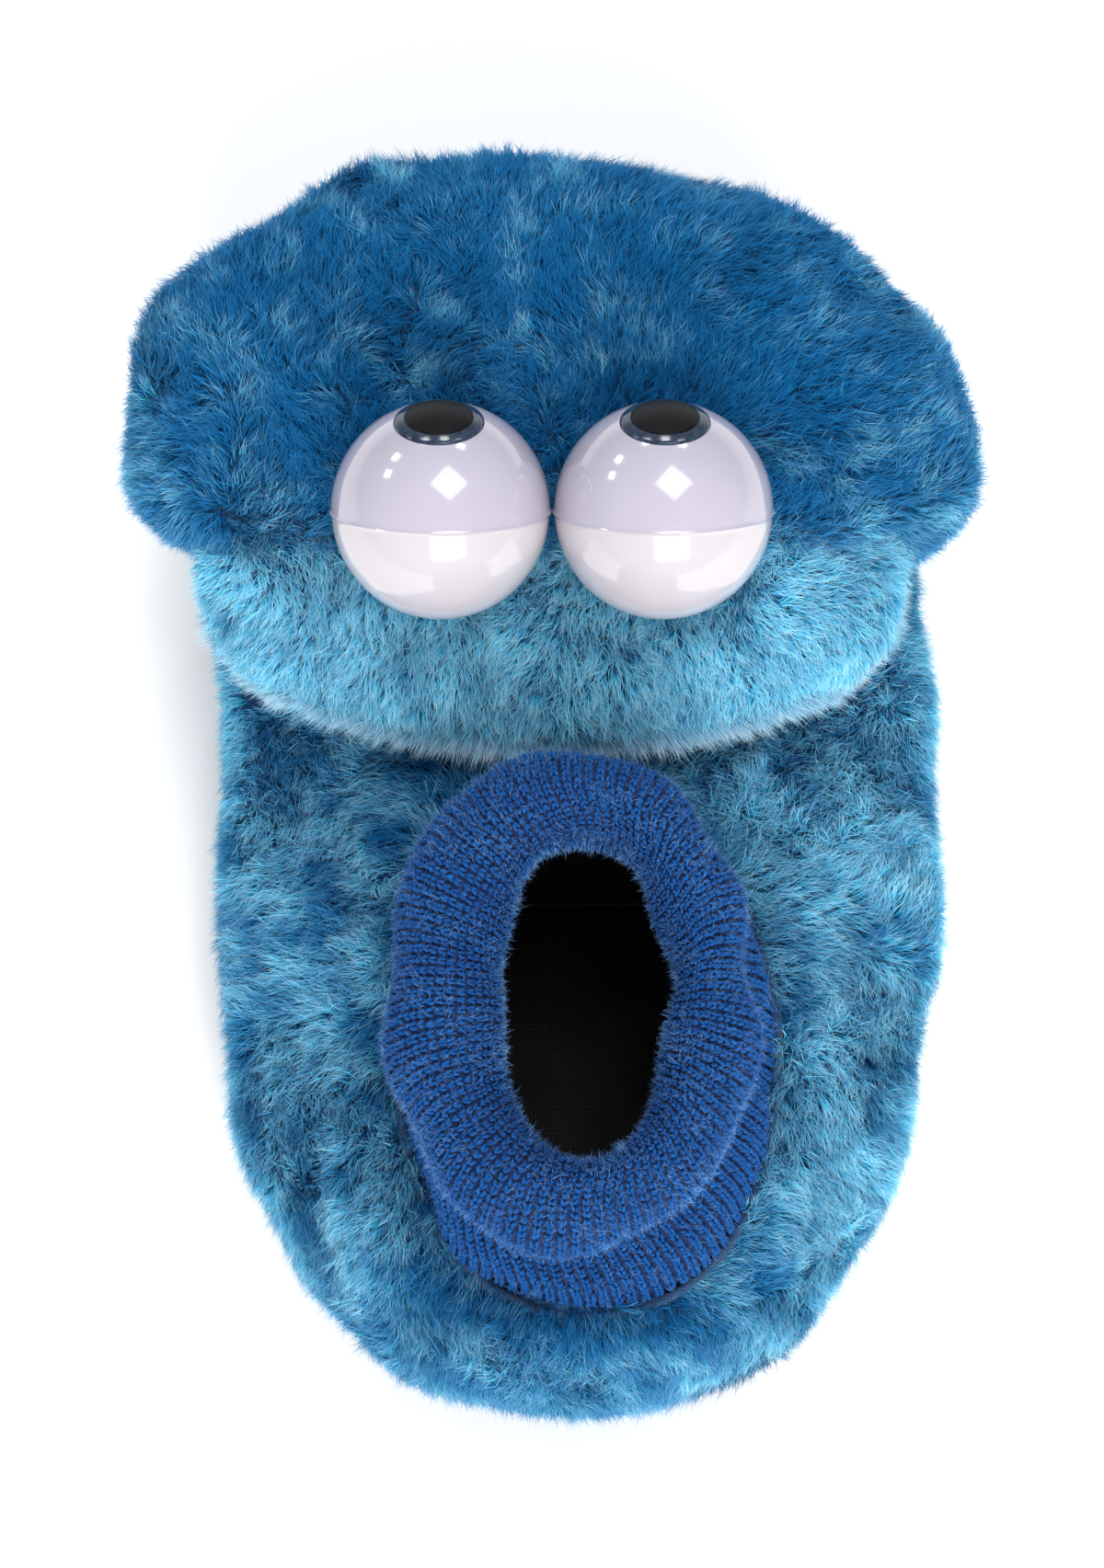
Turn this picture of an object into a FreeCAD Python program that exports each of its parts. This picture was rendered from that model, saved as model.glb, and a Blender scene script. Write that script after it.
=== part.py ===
"""Plush slipper with a monster head whose mouth opens when the heel is pressed.

Millimetres. +Z is up, +Y points to the toe, +X to the wearer's right. The origin is on the
floor, under the middle of the whole object.
"""

import FreeCAD
import Part
import Sketcher
import math
import os

from FreeCAD import Placement, Rotation, Vector

DRIVING_SIZES = [
    # levels of the sole, from the floor up
    ("dot_height", 1.5),
    ("outsole_top", 4.5),
    ("midsole_top", 16.5),
    ("board_top", 18.0),
    ("footbed_top", 21.0),
    # plan of the foot
    ("foot_centre", 4.0),
    ("foot_half_width", 40.0),
    ("foot_back", -109.0),
    ("foot_front", 24.0),
    ("foot_waist", -55.0),
    # plush, wadding and lining
    ("body_pile", 9.0),
    ("head_pile", 8.0),
    ("lining_thickness", 1.5),
    # heel treadle and pump
    ("treadle_low", 15.5),
    ("treadle_pin_y", -20.0),
    ("treadle_pin_z", 12.5),
    ("treadle_pin_radius", 1.2),
    ("treadle_barrel_radius", 3.5),
    ("treadle_barrel_half", 22.0),
    ("lug_gap_half", 23.0),
    ("lug_thickness", 4.0),
    ("pump_y", -78.0),
    ("pump_radius", 20.0),
    ("pump_base_thickness", 1.5),
    # mouth hinge and jaws
    ("jaw_pin_y", 22.0),
    ("jaw_pin_z", 58.0),
    ("jaw_pin_radius", 1.5),
    ("jaw_barrel_radius", 4.0),
    ("jaw_barrel_half", 30.0),
    ("jaw_arm_inner", 38.0),
    ("jaw_arm_thickness", 5.0),
    ("jaw_cap_thickness", 3.0),
    ("running_clearance", 0.05),
    ("lip_low", 40.0),
    ("lip_high", 43.5),
    ("jaw_start", 36.0),
    ("mouth_corner", 63.5),
    ("frame_plate", 2.5),
    ("bellows_y", 46.0),
    ("bellows_radius", 13.0),
    ("cup_radius", 16.0),
    ("cup_height", 16.0),
    # eyes
    ("eye_radius", 21.0),
    ("eye_spread", 21.3),
    ("eye_y", 38.0),
    ("eye_z", 100.0),
    ("eye_wall", 1.6),
    ("eye_pole_tilt", 31.0),
    ("gaze_tilt", 50.0),
    ("pupil_radius", 6.6),
    ("iris_radius", 8.6),
    ("post_radius", 3.0),
    ("bridge_low", 62.5),
    ("bridge_thickness", 2.0),
    # air line
    ("hose_radius", 2.2),
    ("hose_offset", 31.5),
    ("hose_height", 8.5),
]

X_AXIS = Vector(1, 0, 0)
Y_AXIS = Vector(0, 1, 0)
Z_AXIS = Vector(0, 0, 1)

doc = FreeCAD.newDocument("monster_slipper")
sheet = doc.addObject("Spreadsheet::Sheet", "sizes")
for row, (alias, value) in enumerate(DRIVING_SIZES, start=1):
    sheet.set(f"A{row}", alias)
    sheet.set(f"B{row}", str(value))
    sheet.setAlias(f"B{row}", alias)
doc.recompute()

sub_parts = []


def size(alias):
    """A driving dimension, as a plain number."""
    return float(sheet.get(alias))


def keep(obj, label):
    """Registers a document object as a sub-part whose Label names its file."""
    obj.Label = label
    sub_parts.append(obj)
    return obj


def keep_shape(label, shape):
    """A sub-part whose form is worked out in code."""
    obj = doc.addObject("Part::Feature", label)
    obj.Shape = shape
    return keep(obj, label)


def bind(obj, expressions):
    """Ties an object's properties to cells of the sheet."""
    for prop, expression in expressions.items():
        obj.setExpression(prop, expression)
    return obj


# ---------------------------------------------------------------- sketches and features


def new_body(label):
    body = doc.addObject("PartDesign::Body", label)
    return keep(body, label)


def new_sketch(body, name, role, offset):
    """An empty sketch on one of the body's own origin planes, moved along its normal."""
    sketch = body.newObject("Sketcher::SketchObject", name)
    plane = next(f for f in body.Origin.OriginFeatures if f.Role == role)
    sketch.AttachmentSupport = [(plane, "")]
    sketch.MapMode = "FlatFace"
    sketch.setExpression("AttachmentOffset.Base.z", offset)
    return sketch


def place_point(sketch, geometry, point, where):
    """Holds a sketch point at two expressions, measured from the sketch's origin."""
    for kind, expression in zip(("DistanceX", "DistanceY"), where):
        index = sketch.addConstraint(Sketcher.Constraint(kind, -1, 1, geometry, point, 20.0))
        sketch.setExpression(f"Constraints[{index}]", expression)


def polygon(body, name, role, corners, offset="0"):
    """A closed outline whose corners are pairs of expressions."""
    sketch = new_sketch(body, name, role, offset)
    count = len(corners)
    turns = [2 * math.pi * k / count for k in range(count)]
    start = [Vector(20 + 10 * math.cos(t), 20 + 10 * math.sin(t), 0) for t in turns]
    for k in range(count):
        sketch.addGeometry(Part.LineSegment(start[k], start[(k + 1) % count]), False)
    for k in range(count):
        sketch.addConstraint(Sketcher.Constraint("Coincident", k, 2, (k + 1) % count, 1))
    for k, corner in enumerate(corners):
        place_point(sketch, k, 1, corner)
    return sketch


def rectangle(body, name, role, low, high, offset="0"):
    corners = [low, (high[0], low[1]), high, (low[0], high[1])]
    return polygon(body, name, role, corners, offset)


def circles(body, name, role, centres, radius, offset="0"):
    """One or more equal circles."""
    sketch = new_sketch(body, name, role, offset)
    for k, centre in enumerate(centres):
        sketch.addGeometry(Part.Circle(Vector(20 * k, 0, 0), Z_AXIS, 1.0), False)
        place_point(sketch, k, 3, centre)
        index = sketch.addConstraint(Sketcher.Constraint("Radius", k, 1.0))
        sketch.setExpression(f"Constraints[{index}]", radius)
    return sketch


def pad(body, name, sketch, length, symmetric=False):
    feature = body.newObject("PartDesign::Pad", name)
    feature.Profile = sketch
    feature.SideType = "Symmetric" if symmetric else "One side"
    feature.setExpression("Length", length)
    sketch.Visibility = False
    return feature


def pocket(body, name, sketch, length):
    """Cuts both ways from the sketch, so that its direction can't be wrong."""
    feature = body.newObject("PartDesign::Pocket", name)
    feature.Profile = sketch
    feature.SideType = "Symmetric"
    feature.setExpression("Length", length)
    sketch.Visibility = False
    return feature


# ---------------------------------------------------------------- lofted soft forms


def ease(start, stop, y):
    """0 before start, 1 after stop, and smooth between."""
    t = min(max((y - start) / (stop - start), 0.0), 1.0)
    return t * t * (3.0 - 2.0 * t)


# Each of these gives, at a distance y along the slipper, how far an outline moves to the right
# and by how much its width is multiplied.


def foot_drift(y):
    """The foot lies a little to the right of the toe, where the jaw is wider."""
    side_bulge = 2.6 * (ease(-80.0, -20.0, y) - ease(25.0, 65.0, y))
    toe_turn = 0.058 * max(y, 0.0) + 2.5 * ease(65.0, 105.0, y)
    return size("foot_centre") + side_bulge - toe_turn, 1.0 + 0.08 * ease(20.0, 70.0, y)


def head_drift(y):
    """The brow leans a little to the left."""
    return 1.0 - 6.0 * ease(45.0, 105.0, y), 1.0


def no_drift(y):
    return 0.0, 1.0


def straight_foot(y):
    return size("foot_centre"), 1.0


def outline_wire(station, waist, drift, lean=0.0, fullness=2.2, toe_fullness=None, count=28):
    """An egg-shaped closed curve; station is (height, tilt, half width, back, front)."""
    height, tilt, half_width, back, front = station
    points = []
    for k in range(count):
        angle = 2 * math.pi * (k + 0.5) / count
        power = 2.0 / fullness
        if toe_fullness and math.sin(angle) > 0:
            power = 2.0 / toe_fullness
        across = math.copysign(abs(math.cos(angle)) ** power, math.cos(angle))
        along = math.copysign(abs(math.sin(angle)) ** power, math.sin(angle))
        reach = front - waist if along > 0 else waist - back
        y = waist + reach * along
        shift, spread = drift(y)
        x = shift + lean + half_width * spread * across
        points.append(Vector(x, y, height - tilt * (y + 60.0)))
    curve = Part.BSplineCurve()
    curve.interpolate(points, PeriodicFlag=True)
    return Part.Wire([curve.toShape()])


def loft(stations, waist, drift, leans=None, fullness=2.2, toes=None):
    """A closed solid through egg-shaped stations."""
    leans = leans or [0.0] * len(stations)
    toes = toes or [None] * len(stations)
    wires = []
    for station, lean, toe in zip(stations, leans, toes):
        middle = min(waist, station[4] - 30.0)
        wires.append(outline_wire(station, middle, drift, lean, fullness, toe))
    solid = Part.makeLoft(wires, True, True)
    if solid.Volume < 0:
        solid.reverse()
    return solid


def inset(stations, amount, drops, last_extra=0.0):
    """The same stations moved in by amount, each lowered by its own drop."""
    moved = []
    for (height, tilt, half_width, back, front), drop in zip(stations, drops):
        moved.append((height - drop, tilt, half_width - amount, back + amount, front - amount))
    height, tilt, half_width, back, front = moved[-1]
    moved[-1] = (height, tilt, half_width - last_extra, back + last_extra, front - last_extra)
    return moved


def box(low, high):
    return Part.makeBox(high[0] - low[0], high[1] - low[1], high[2] - low[2], Vector(*low))


def side_prism(corners, half_width):
    """A prism across the whole slipper from a side profile of (y, z) corners."""
    points = [Vector(-half_width, y, z) for y, z in corners]
    face = Part.Face(Part.makePolygon(points + points[:1]))
    return face.extrude(X_AXIS * (2 * half_width))


def foot_slab(amount, low, high, back=-200.0, front=200.0):
    """The foot's plan, moved in by amount, between two heights."""
    station = (
        low,
        0.0,
        size("foot_half_width") - amount,
        size("foot_back") + amount,
        size("foot_front") - amount,
    )
    wire = outline_wire(station, size("foot_waist"), straight_foot, fullness=2.4)
    slab = Part.Face(wire).extrude(Z_AXIS * (high - low))
    return slab.common(box((-100, back, low - 1), (100, front, high + 1)))


BODY_STATIONS = [
    (size("outsole_top"), 0.0, 64.0, -115.0, 114.0),
    (14.0, 0.0, 72.0, -124.6, 121.0),
    (26.0, 0.0, 75.5, -128.8, 125.5),
    (36.0, 0.0, 75.0, -128.5, 125.0),
    (40.5, 0.0, 74.0, -128.0, 121.0),
    (45.0, 0.02, 71.0, -127.0, 78.0),
    (53.0, 0.08, 63.0, -123.4, 36.0),
    (58.0, 0.10, 53.0, -118.5, 12.0),
    (60.0, 0.10, 43.0, -115.0, -2.0),
]
BODY_DROPS = [0.5, 0.0, 0.0, 0.0, 0.0, 2.0, 3.5, 4.0, 4.5]
BODY_LEANS = [0.0, 0.0, 0.0, 0.0, 0.0, 0.0, 0.5, 1.5, 3.0]
BODY_TOES = [2.8, 2.9, 2.9, 2.9, 2.9, 2.8, 2.5, 2.2, 2.2]
CAVITY_STATIONS = [
    (17.0, 0.0, 40.0, -109.0, 24.0),
    (24.0, 0.0, 40.0, -109.0, 24.0),
    (31.0, 0.0, 40.0, -109.0, 22.0),
    (37.0, 0.02, 39.5, -109.0, 12.0),
    (43.0, 0.05, 37.0, -108.5, -2.0),
    (48.0, 0.08, 33.0, -107.0, -11.0),
    (56.0, 0.10, 31.0, -105.5, -14.0),
    (70.0, 0.10, 31.0, -105.5, -14.0),
]
COLLAR_TILT = 0.10
COLLAR_HEIGHT = 50.0

core_stations = inset(BODY_STATIONS, size("body_pile"), BODY_DROPS, last_extra=3.0)
body_outer = loft(BODY_STATIONS, -10.0, foot_drift, BODY_LEANS, 2.4, BODY_TOES)
body_core = loft(core_stations, -10.0, foot_drift, BODY_LEANS, 2.4, BODY_TOES)
cavity = loft(CAVITY_STATIONS, size("foot_waist"), straight_foot, fullness=2.4)
lining_outer = loft(
    inset(CAVITY_STATIONS, -size("lining_thickness"), [0, 0, 0, -1.5, -1.5, -1.5, 0, 0]),
    size("foot_waist"),
    straight_foot,
    fullness=2.4,
)


def collar_space(height, above):
    """Everything above or below the tilted plane in which the cuff is sewn."""
    rise = 100.0 if above else -100.0
    low = height - COLLAR_TILT * (-140.0 + 60.0)
    high = height - COLLAR_TILT * (140.0 + 60.0)
    corners = [(-140.0, low), (140.0, high), (140.0, high + rise), (-140.0, low + rise)]
    return side_prism(corners, 120.0)


def above_lip():
    """The space of the mouth and head, in front of the vamp and over the lower lip."""
    return box((-120, size("jaw_start"), size("lip_low")), (120, 160, 160))


def cuff_opening():
    """The egg-shaped hole in the plush that the cuff stands in."""
    station = (20.0, 0.0, 36.3, -110.3, -8.7)
    wire = outline_wire(station, -59.0, straight_foot, 3.0)
    return Part.Face(wire).extrude(Z_AXIS * 80)


# ---------------------------------------------------------------- sole


def make_outsole():
    station = (size("dot_height"), 0.0, 60.0, -111.0, 108.0)
    wire = outline_wire(station, -10.0, foot_drift, toe_fullness=3.6)
    thickness = size("outsole_top") - size("dot_height")
    keep_shape("outsole", Part.Face(wire).extrude(Z_AXIS * thickness))


def make_grip_dots():
    dots = []
    for y in (-92.0, -52.0, -12.0, 28.0, 68.0):
        for x in (-30.0, 0.0, 30.0):
            centre = Vector(foot_drift(y)[0] + x, y, 0)
            dots.append(Part.makeCylinder(5.0, size("dot_height"), centre))
    keep_shape("sole_grip_dots", Part.makeCompound(dots))


ELBOW_REACH = 6.0
FRAME_SCREWS = [(x, y) for x in (-40.0, 40.0) for y in (60.0, 92.0)]


def hose_path():
    """The air line: forward beside the treadle, then across to the elbow under the mouth."""
    side = size("foot_centre") + size("hose_offset")
    height = size("hose_height")
    start = Vector(side, -66.0, height)
    corner = Vector(side, 6.0, height)
    target = Vector(0.0, size("bellows_y"), height)
    inward = (corner - start).normalize()
    outward = (target - corner).normalize()
    finish = target - outward * ELBOW_REACH
    half_turn = inward.getAngle(outward) / 2.0
    reach = 0.45 * (finish - corner).Length
    arc_start = corner - inward * reach
    arc_end = corner + outward * reach
    radius = reach / math.tan(half_turn)
    bisector = (outward - inward).normalize()
    middle = corner + bisector * (radius / math.cos(half_turn) - radius)
    print("hose bend radius", round(radius, 1))
    edges = [
        Part.LineSegment(start, arc_start).toShape(),
        Part.Arc(arc_start, middle, arc_end).toShape(),
        Part.LineSegment(arc_end, finish).toShape(),
    ]
    return Part.Wire(edges), start, inward, outward


def tube_along(path, start, direction, radius):
    profile = Part.Wire([Part.makeCircle(radius, start, direction)])
    return path.makePipeShell([profile], True, True)


hose_route, hose_start, hose_inward, hose_outward = hose_path()


def elbow_form(gap):
    """The elbow under the mouth bellows, grown by a gap all round."""
    centre = Vector(0, size("bellows_y"), size("hose_height"))
    ball = Part.makeSphere(3.8 + gap, centre)
    riser_top = size("board_top") + size("frame_plate")
    riser = Part.makeCylinder(2.4 + gap, riser_top - centre.z, centre)
    reach = hose_outward * ELBOW_REACH
    arm = Part.makeCylinder(2.6 + gap, ELBOW_REACH, centre - reach, hose_outward)
    return ball.fuse([riser, arm]).removeSplitter()


def make_midsole():
    low = size("outsole_top")
    high = size("midsole_top")
    foam = body_core.common(box((-100, -140, low), (100, 140, high)))
    foam = foam.cut(foot_slab(0.0, low - 1, high + 1, front=size("treadle_pin_y") + 6.0))
    foam = foam.cut(tube_along(hose_route, hose_start, hose_inward, size("hose_radius") + 0.6))
    foam = foam.cut(elbow_form(0.4))
    keep_shape("midsole_foam", foam)


def make_board():
    low = size("midsole_top")
    high = size("board_top")
    board = body_core.common(box((-100, -140, low), (100, 140, high)))
    board = board.cut(foot_slab(0.0, low - 1, high + 1, front=size("treadle_pin_y") - 0.5))
    board = board.cut(elbow_form(0.2))
    for x, y in FRAME_SCREWS:
        board = board.cut(Part.makeCylinder(1.3, 10, Vector(x, y, low - 5)))
    keep_shape("insole_board", board)


def make_footbed_front():
    start = size("treadle_pin_y") - 0.5
    slab = foot_slab(0.2, size("board_top"), size("footbed_top"), back=start)
    keep_shape("footbed_front", slab)


def make_frame_screws():
    """Pan-head screws that hold the lower jaw frame down on the board."""
    low = size("midsole_top")
    plate_top = size("board_top") + size("frame_plate")
    screws = []
    for x, y in FRAME_SCREWS:
        shank = Part.makeCylinder(1.2, plate_top - low, Vector(x, y, low))
        head = Part.makeCylinder(2.4, 1.6, Vector(x, y, plate_top))
        screws.append(shank.fuse(head))
    keep_shape("jaw_frame_screws", Part.makeCompound(screws))


# ---------------------------------------------------------------- heel pump


def make_pump_base():
    """A tray with two lugs for the treadle's pin and a block for the hose."""
    body = new_body("pump_base")
    low = "sizes.outsole_top"
    plate = polygon(
        body,
        "tray_outline",
        "XY_Plane",
        [
            ("sizes.foot_centre - 30", "sizes.pump_y - 6"),
            ("sizes.foot_centre - 16", "sizes.pump_y - 21"),
            ("sizes.foot_centre + 16", "sizes.pump_y - 21"),
            ("sizes.foot_centre + 30", "sizes.pump_y - 6"),
            ("sizes.foot_centre + 30", "sizes.treadle_pin_y + 5"),
            ("sizes.foot_centre - 30", "sizes.treadle_pin_y + 5"),
        ],
        low,
    )
    pad(body, "tray", plate, "sizes.pump_base_thickness")
    outlet = rectangle(
        body,
        "outlet_outline",
        "XY_Plane",
        ("sizes.foot_centre + sizes.hose_offset - 10", "sizes.pump_y - 2"),
        ("sizes.foot_centre + sizes.hose_offset + 3.5", "sizes.pump_y + 5"),
        low,
    )
    pad(body, "outlet", outlet, "6.2")
    top = "sizes.treadle_pin_z + 2.1"
    for name, side in (("left", -1), ("right", 1)):
        inner = f"sizes.foot_centre + ({side}) * sizes.lug_gap_half"
        start = inner if side > 0 else f"{inner} - sizes.lug_thickness"
        lug = rectangle(
            body,
            f"{name}_lug_outline",
            "YZ_Plane",
            ("sizes.treadle_pin_y - 4", low),
            ("sizes.treadle_pin_y + 4", top),
            start,
        )
        pad(body, f"{name}_lug", lug, "sizes.lug_thickness")
    hole = circles(
        body,
        "pin_hole_outline",
        "YZ_Plane",
        [("sizes.treadle_pin_y", "sizes.treadle_pin_z")],
        "sizes.treadle_pin_radius",
    )
    pocket(body, "pin_hole", hole, "120")


def make_treadle_pin():
    pin = keep(doc.addObject("Part::Cylinder", "treadle_pin"), "treadle_hinge_pin")
    pin.Placement = Placement(Vector(), Rotation(Y_AXIS, 90))
    bind(
        pin,
        {
            "Radius": "sizes.treadle_pin_radius",
            "Height": "2 * (sizes.lug_gap_half + sizes.lug_thickness)",
            "Placement.Base.x": "sizes.foot_centre - sizes.lug_gap_half - sizes.lug_thickness",
            "Placement.Base.y": "sizes.treadle_pin_y",
            "Placement.Base.z": "sizes.treadle_pin_z",
        },
    )


def make_treadle():
    """The plate under the heel, with a web and a barrel on the hinge pin."""
    y = size("treadle_pin_y")
    z = size("treadle_pin_z")
    half = size("treadle_barrel_half")
    middle = size("foot_centre")
    plate = foot_slab(4.0, size("treadle_low"), size("board_top"), front=y - 1.5)
    web = box((middle - half, y - 10, z), (middle + half, y - 1.5, size("treadle_low")))
    start = Vector(middle - half, y, z)
    barrel = Part.makeCylinder(size("treadle_barrel_radius"), 2 * half, start, X_AXIS)
    bore_radius = size("treadle_pin_radius") + size("running_clearance")
    bore = Part.makeCylinder(bore_radius, 2 * half, start, X_AXIS)
    keep_shape("heel_treadle", plate.fuse([web, barrel]).cut(bore).removeSplitter())


def make_footbed_heel():
    front = size("treadle_pin_y") - 1.5
    pad_shape = foot_slab(1.5, size("board_top"), size("footbed_top"), front=front)
    keep_shape("footbed_heel", pad_shape)


def bellows(centre, low, high, radius, folds, depth, wall):
    """A hollow rubber bellows with flat ends."""
    step = (high - low) / folds
    outer = [(radius - depth, low)]
    for k in range(folds):
        outer.append((radius, low + (k + 0.5) * step))
        outer.append((radius - depth, low + (k + 1) * step))
    inner = [(radius - depth - wall, low + wall)]
    for k in range(folds):
        inner.append((radius - wall * 1.4, low + (k + 0.5) * step))
        edge = high - wall if k == folds - 1 else low + (k + 1) * step
        inner.append((radius - depth - wall, edge))
    solids = []
    for profile in (outer, inner):
        ring = [(0.0, profile[0][1])] + profile + [(0.0, profile[-1][1])]
        points = [Vector(r, 0, z) for r, z in ring]
        face = Part.Face(Part.makePolygon(points + points[:1]))
        solids.append(face.revolve(Vector(), Z_AXIS, 360))
    shape = solids[0].cut(solids[1])
    shape.translate(Vector(centre[0], centre[1], 0))
    return shape


def coil(centre, low, high, radius, turns, wire_radius, axis=Z_AXIS):
    """A helical spring wound round an axis through centre."""
    height = high - low - 2 * wire_radius
    helix = Part.makeHelix(height / turns, height, radius)
    profile = Part.Wire([Part.makeCircle(wire_radius, Vector(radius, 0, 0), Y_AXIS)])
    spring = Part.Wire(helix.Edges).makePipeShell([profile], True, True)
    spring.translate(Vector(0, 0, low + wire_radius))
    if axis == X_AXIS:
        spring.rotate(Vector(), Y_AXIS, 90)
    spring.translate(centre)
    return spring


def make_pump():
    centre = (size("foot_centre"), size("pump_y"))
    low = size("outsole_top") + size("pump_base_thickness")
    high = size("treadle_low")
    shape = bellows(centre, low, high, size("pump_radius"), 2, 3.0, 1.0)
    keep_shape("pump_bellows", shape)
    middle = Vector(centre[0], centre[1], 0)
    keep_shape("pump_spring", coil(middle, low + 1.1, high - 1.1, 11.0, 3, 0.6))


def make_air_line():
    keep_shape("air_hose", tube_along(hose_route, hose_start, hose_inward, size("hose_radius")))
    back_of_outlet = Vector(hose_start.x, size("pump_y") + 5.0, hose_start.z)
    length = hose_start.y - back_of_outlet.y
    barb = Part.makeCylinder(1.6, length, back_of_outlet, Y_AXIS)
    collar = Part.makeCylinder(2.6, 2.0, Vector(hose_start.x, hose_start.y - 2.0, hose_start.z), Y_AXIS)
    keep_shape("pump_outlet_barb", barb.fuse(collar).removeSplitter())
    keep_shape("hose_elbow", elbow_form(0.0))


# ---------------------------------------------------------------- lower jaw frame


def make_lower_jaw_frame():
    """A moulded plate with a bellows cup and two arms that carry the jaw pin."""
    body = new_body("lower_jaw_frame")
    base = polygon(
        body,
        "plate_outline",
        "XY_Plane",
        [
            ("-46", "sizes.bellows_y - 14"),
            ("46", "sizes.bellows_y - 14"),
            ("46", "88"),
            ("30", "100"),
            ("-30", "100"),
            ("-46", "88"),
        ],
        "sizes.board_top",
    )
    pad(body, "plate", base, "sizes.frame_plate")
    centre = [("0", "sizes.bellows_y")]
    cup = circles(body, "cup_outline", "XY_Plane", centre, "sizes.cup_radius", "sizes.board_top")
    pad(body, "cup", cup, "sizes.cup_height")
    well_floor = "sizes.board_top + sizes.frame_plate + sizes.cup_height"
    well = circles(body, "well_outline", "XY_Plane", centre, "sizes.cup_radius - 2", well_floor)
    pocket(body, "well", well, "2 * sizes.cup_height")
    for name, side in (("left", -1), ("right", 1)):
        start = "sizes.jaw_arm_inner" if side > 0 else "-sizes.jaw_arm_inner - sizes.jaw_arm_thickness"
        arm = polygon(
            body,
            f"{name}_arm_outline",
            "YZ_Plane",
            [
                ("sizes.jaw_pin_y + 14", "sizes.board_top"),
                ("sizes.jaw_pin_y + 28", "sizes.board_top"),
                ("sizes.jaw_pin_y + 22", "sizes.jaw_pin_z - 17"),
                ("sizes.jaw_pin_y + 3.5", "sizes.jaw_pin_z + 2.8"),
                ("sizes.jaw_pin_y - 3.5", "sizes.jaw_pin_z - 2.8"),
                ("sizes.jaw_pin_y + 11", "sizes.jaw_pin_z - 17"),
            ],
            start,
        )
        pad(body, f"{name}_arm", arm, "sizes.jaw_arm_thickness")
        eye = circles(
            body,
            f"{name}_boss_outline",
            "YZ_Plane",
            [("sizes.jaw_pin_y", "sizes.jaw_pin_z")],
            "sizes.jaw_barrel_radius + 0.5",
            start,
        )
        pad(body, f"{name}_boss", eye, "sizes.jaw_arm_thickness")
    pin_hole = circles(
        body,
        "pin_hole_outline",
        "YZ_Plane",
        [("sizes.jaw_pin_y", "sizes.jaw_pin_z")],
        "sizes.jaw_pin_radius",
    )
    pocket(body, "pin_hole", pin_hole, "120")
    riser = circles(body, "riser_outline", "XY_Plane", centre, "2.5", "sizes.board_top")
    pocket(body, "riser_hole", riser, "2 * sizes.frame_plate + 1")
    places = [(str(x), str(y)) for x, y in FRAME_SCREWS]
    screws = circles(body, "screw_outline", "XY_Plane", places, "1.3", "sizes.board_top")
    pocket(body, "screw_holes", screws, "2 * sizes.frame_plate + 1")
    doc.recompute()
    return body


def make_jaw_pin():
    """The steel pin across both arms, with a push-on cap at each end."""
    pin = keep(doc.addObject("Part::Cylinder", "jaw_pin"), "jaw_hinge_pin")
    pin.Placement = Placement(Vector(), Rotation(Y_AXIS, 90))
    reach = "(sizes.jaw_arm_inner + sizes.jaw_arm_thickness + sizes.jaw_cap_thickness)"
    bind(
        pin,
        {
            "Radius": "sizes.jaw_pin_radius",
            "Height": f"2 * {reach}",
            "Placement.Base.x": f"-{reach}",
            "Placement.Base.y": "sizes.jaw_pin_y",
            "Placement.Base.z": "sizes.jaw_pin_z",
        },
    )
    caps = []
    for side in (-1, 1):
        inner = side * (size("jaw_arm_inner") + size("jaw_arm_thickness"))
        start = min(inner, inner + side * size("jaw_cap_thickness"))
        at = Vector(start, size("jaw_pin_y"), size("jaw_pin_z"))
        disc = Part.makeCylinder(3.6, size("jaw_cap_thickness"), at, X_AXIS)
        bore = Part.makeCylinder(size("jaw_pin_radius"), size("jaw_cap_thickness"), at, X_AXIS)
        caps.append(disc.cut(bore))
    keep_shape("jaw_pin_caps", Part.makeCompound(caps))


def make_return_springs():
    """Torsion springs on the jaw pin, one beside each arm."""
    low = size("jaw_barrel_half") + 1.2
    high = size("jaw_arm_inner") - 0.4
    for name, side in (("left", -1), ("right", 1)):
        start = low if side > 0 else -high
        centre = Vector(start, size("jaw_pin_y"), size("jaw_pin_z"))
        spring = coil(centre, 0.0, high - low, 2.9, 4, 0.5, X_AXIS)
        keep_shape(f"return_spring_{name}", spring)


def make_mouth_bellows():
    low = size("board_top") + size("frame_plate")
    high = size("lip_high") + size("lining_thickness")
    centre = (0.0, size("bellows_y"))
    shape = bellows(centre, low, high, size("bellows_radius"), 5, 2.6, 0.9)
    keep_shape("mouth_bellows", shape)


# ---------------------------------------------------------------- upper of the foot


VAMP_START = -8.0


def make_body_fur():
    """Plush panels: two quarters that meet at the heel seam, a vamp and the lower jaw."""
    shell = body_outer.cut(body_core).cut(cuff_opening()).cut(above_lip())
    shell = shell.cut(frame_keepout)
    middle = size("foot_centre")
    jaw = size("jaw_start")
    regions = {
        "quarter_fur_left": box((-120, -140, 0), (middle, VAMP_START, 120)),
        "quarter_fur_right": box((middle, -140, 0), (120, VAMP_START, 120)),
        "vamp_fur": box((-120, VAMP_START, 0), (120, jaw, 120)),
        "lower_jaw_fur": box((-120, jaw, 0), (120, 140, 120)),
    }
    for label, region in regions.items():
        keep_shape(label, shell.common(region))


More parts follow.
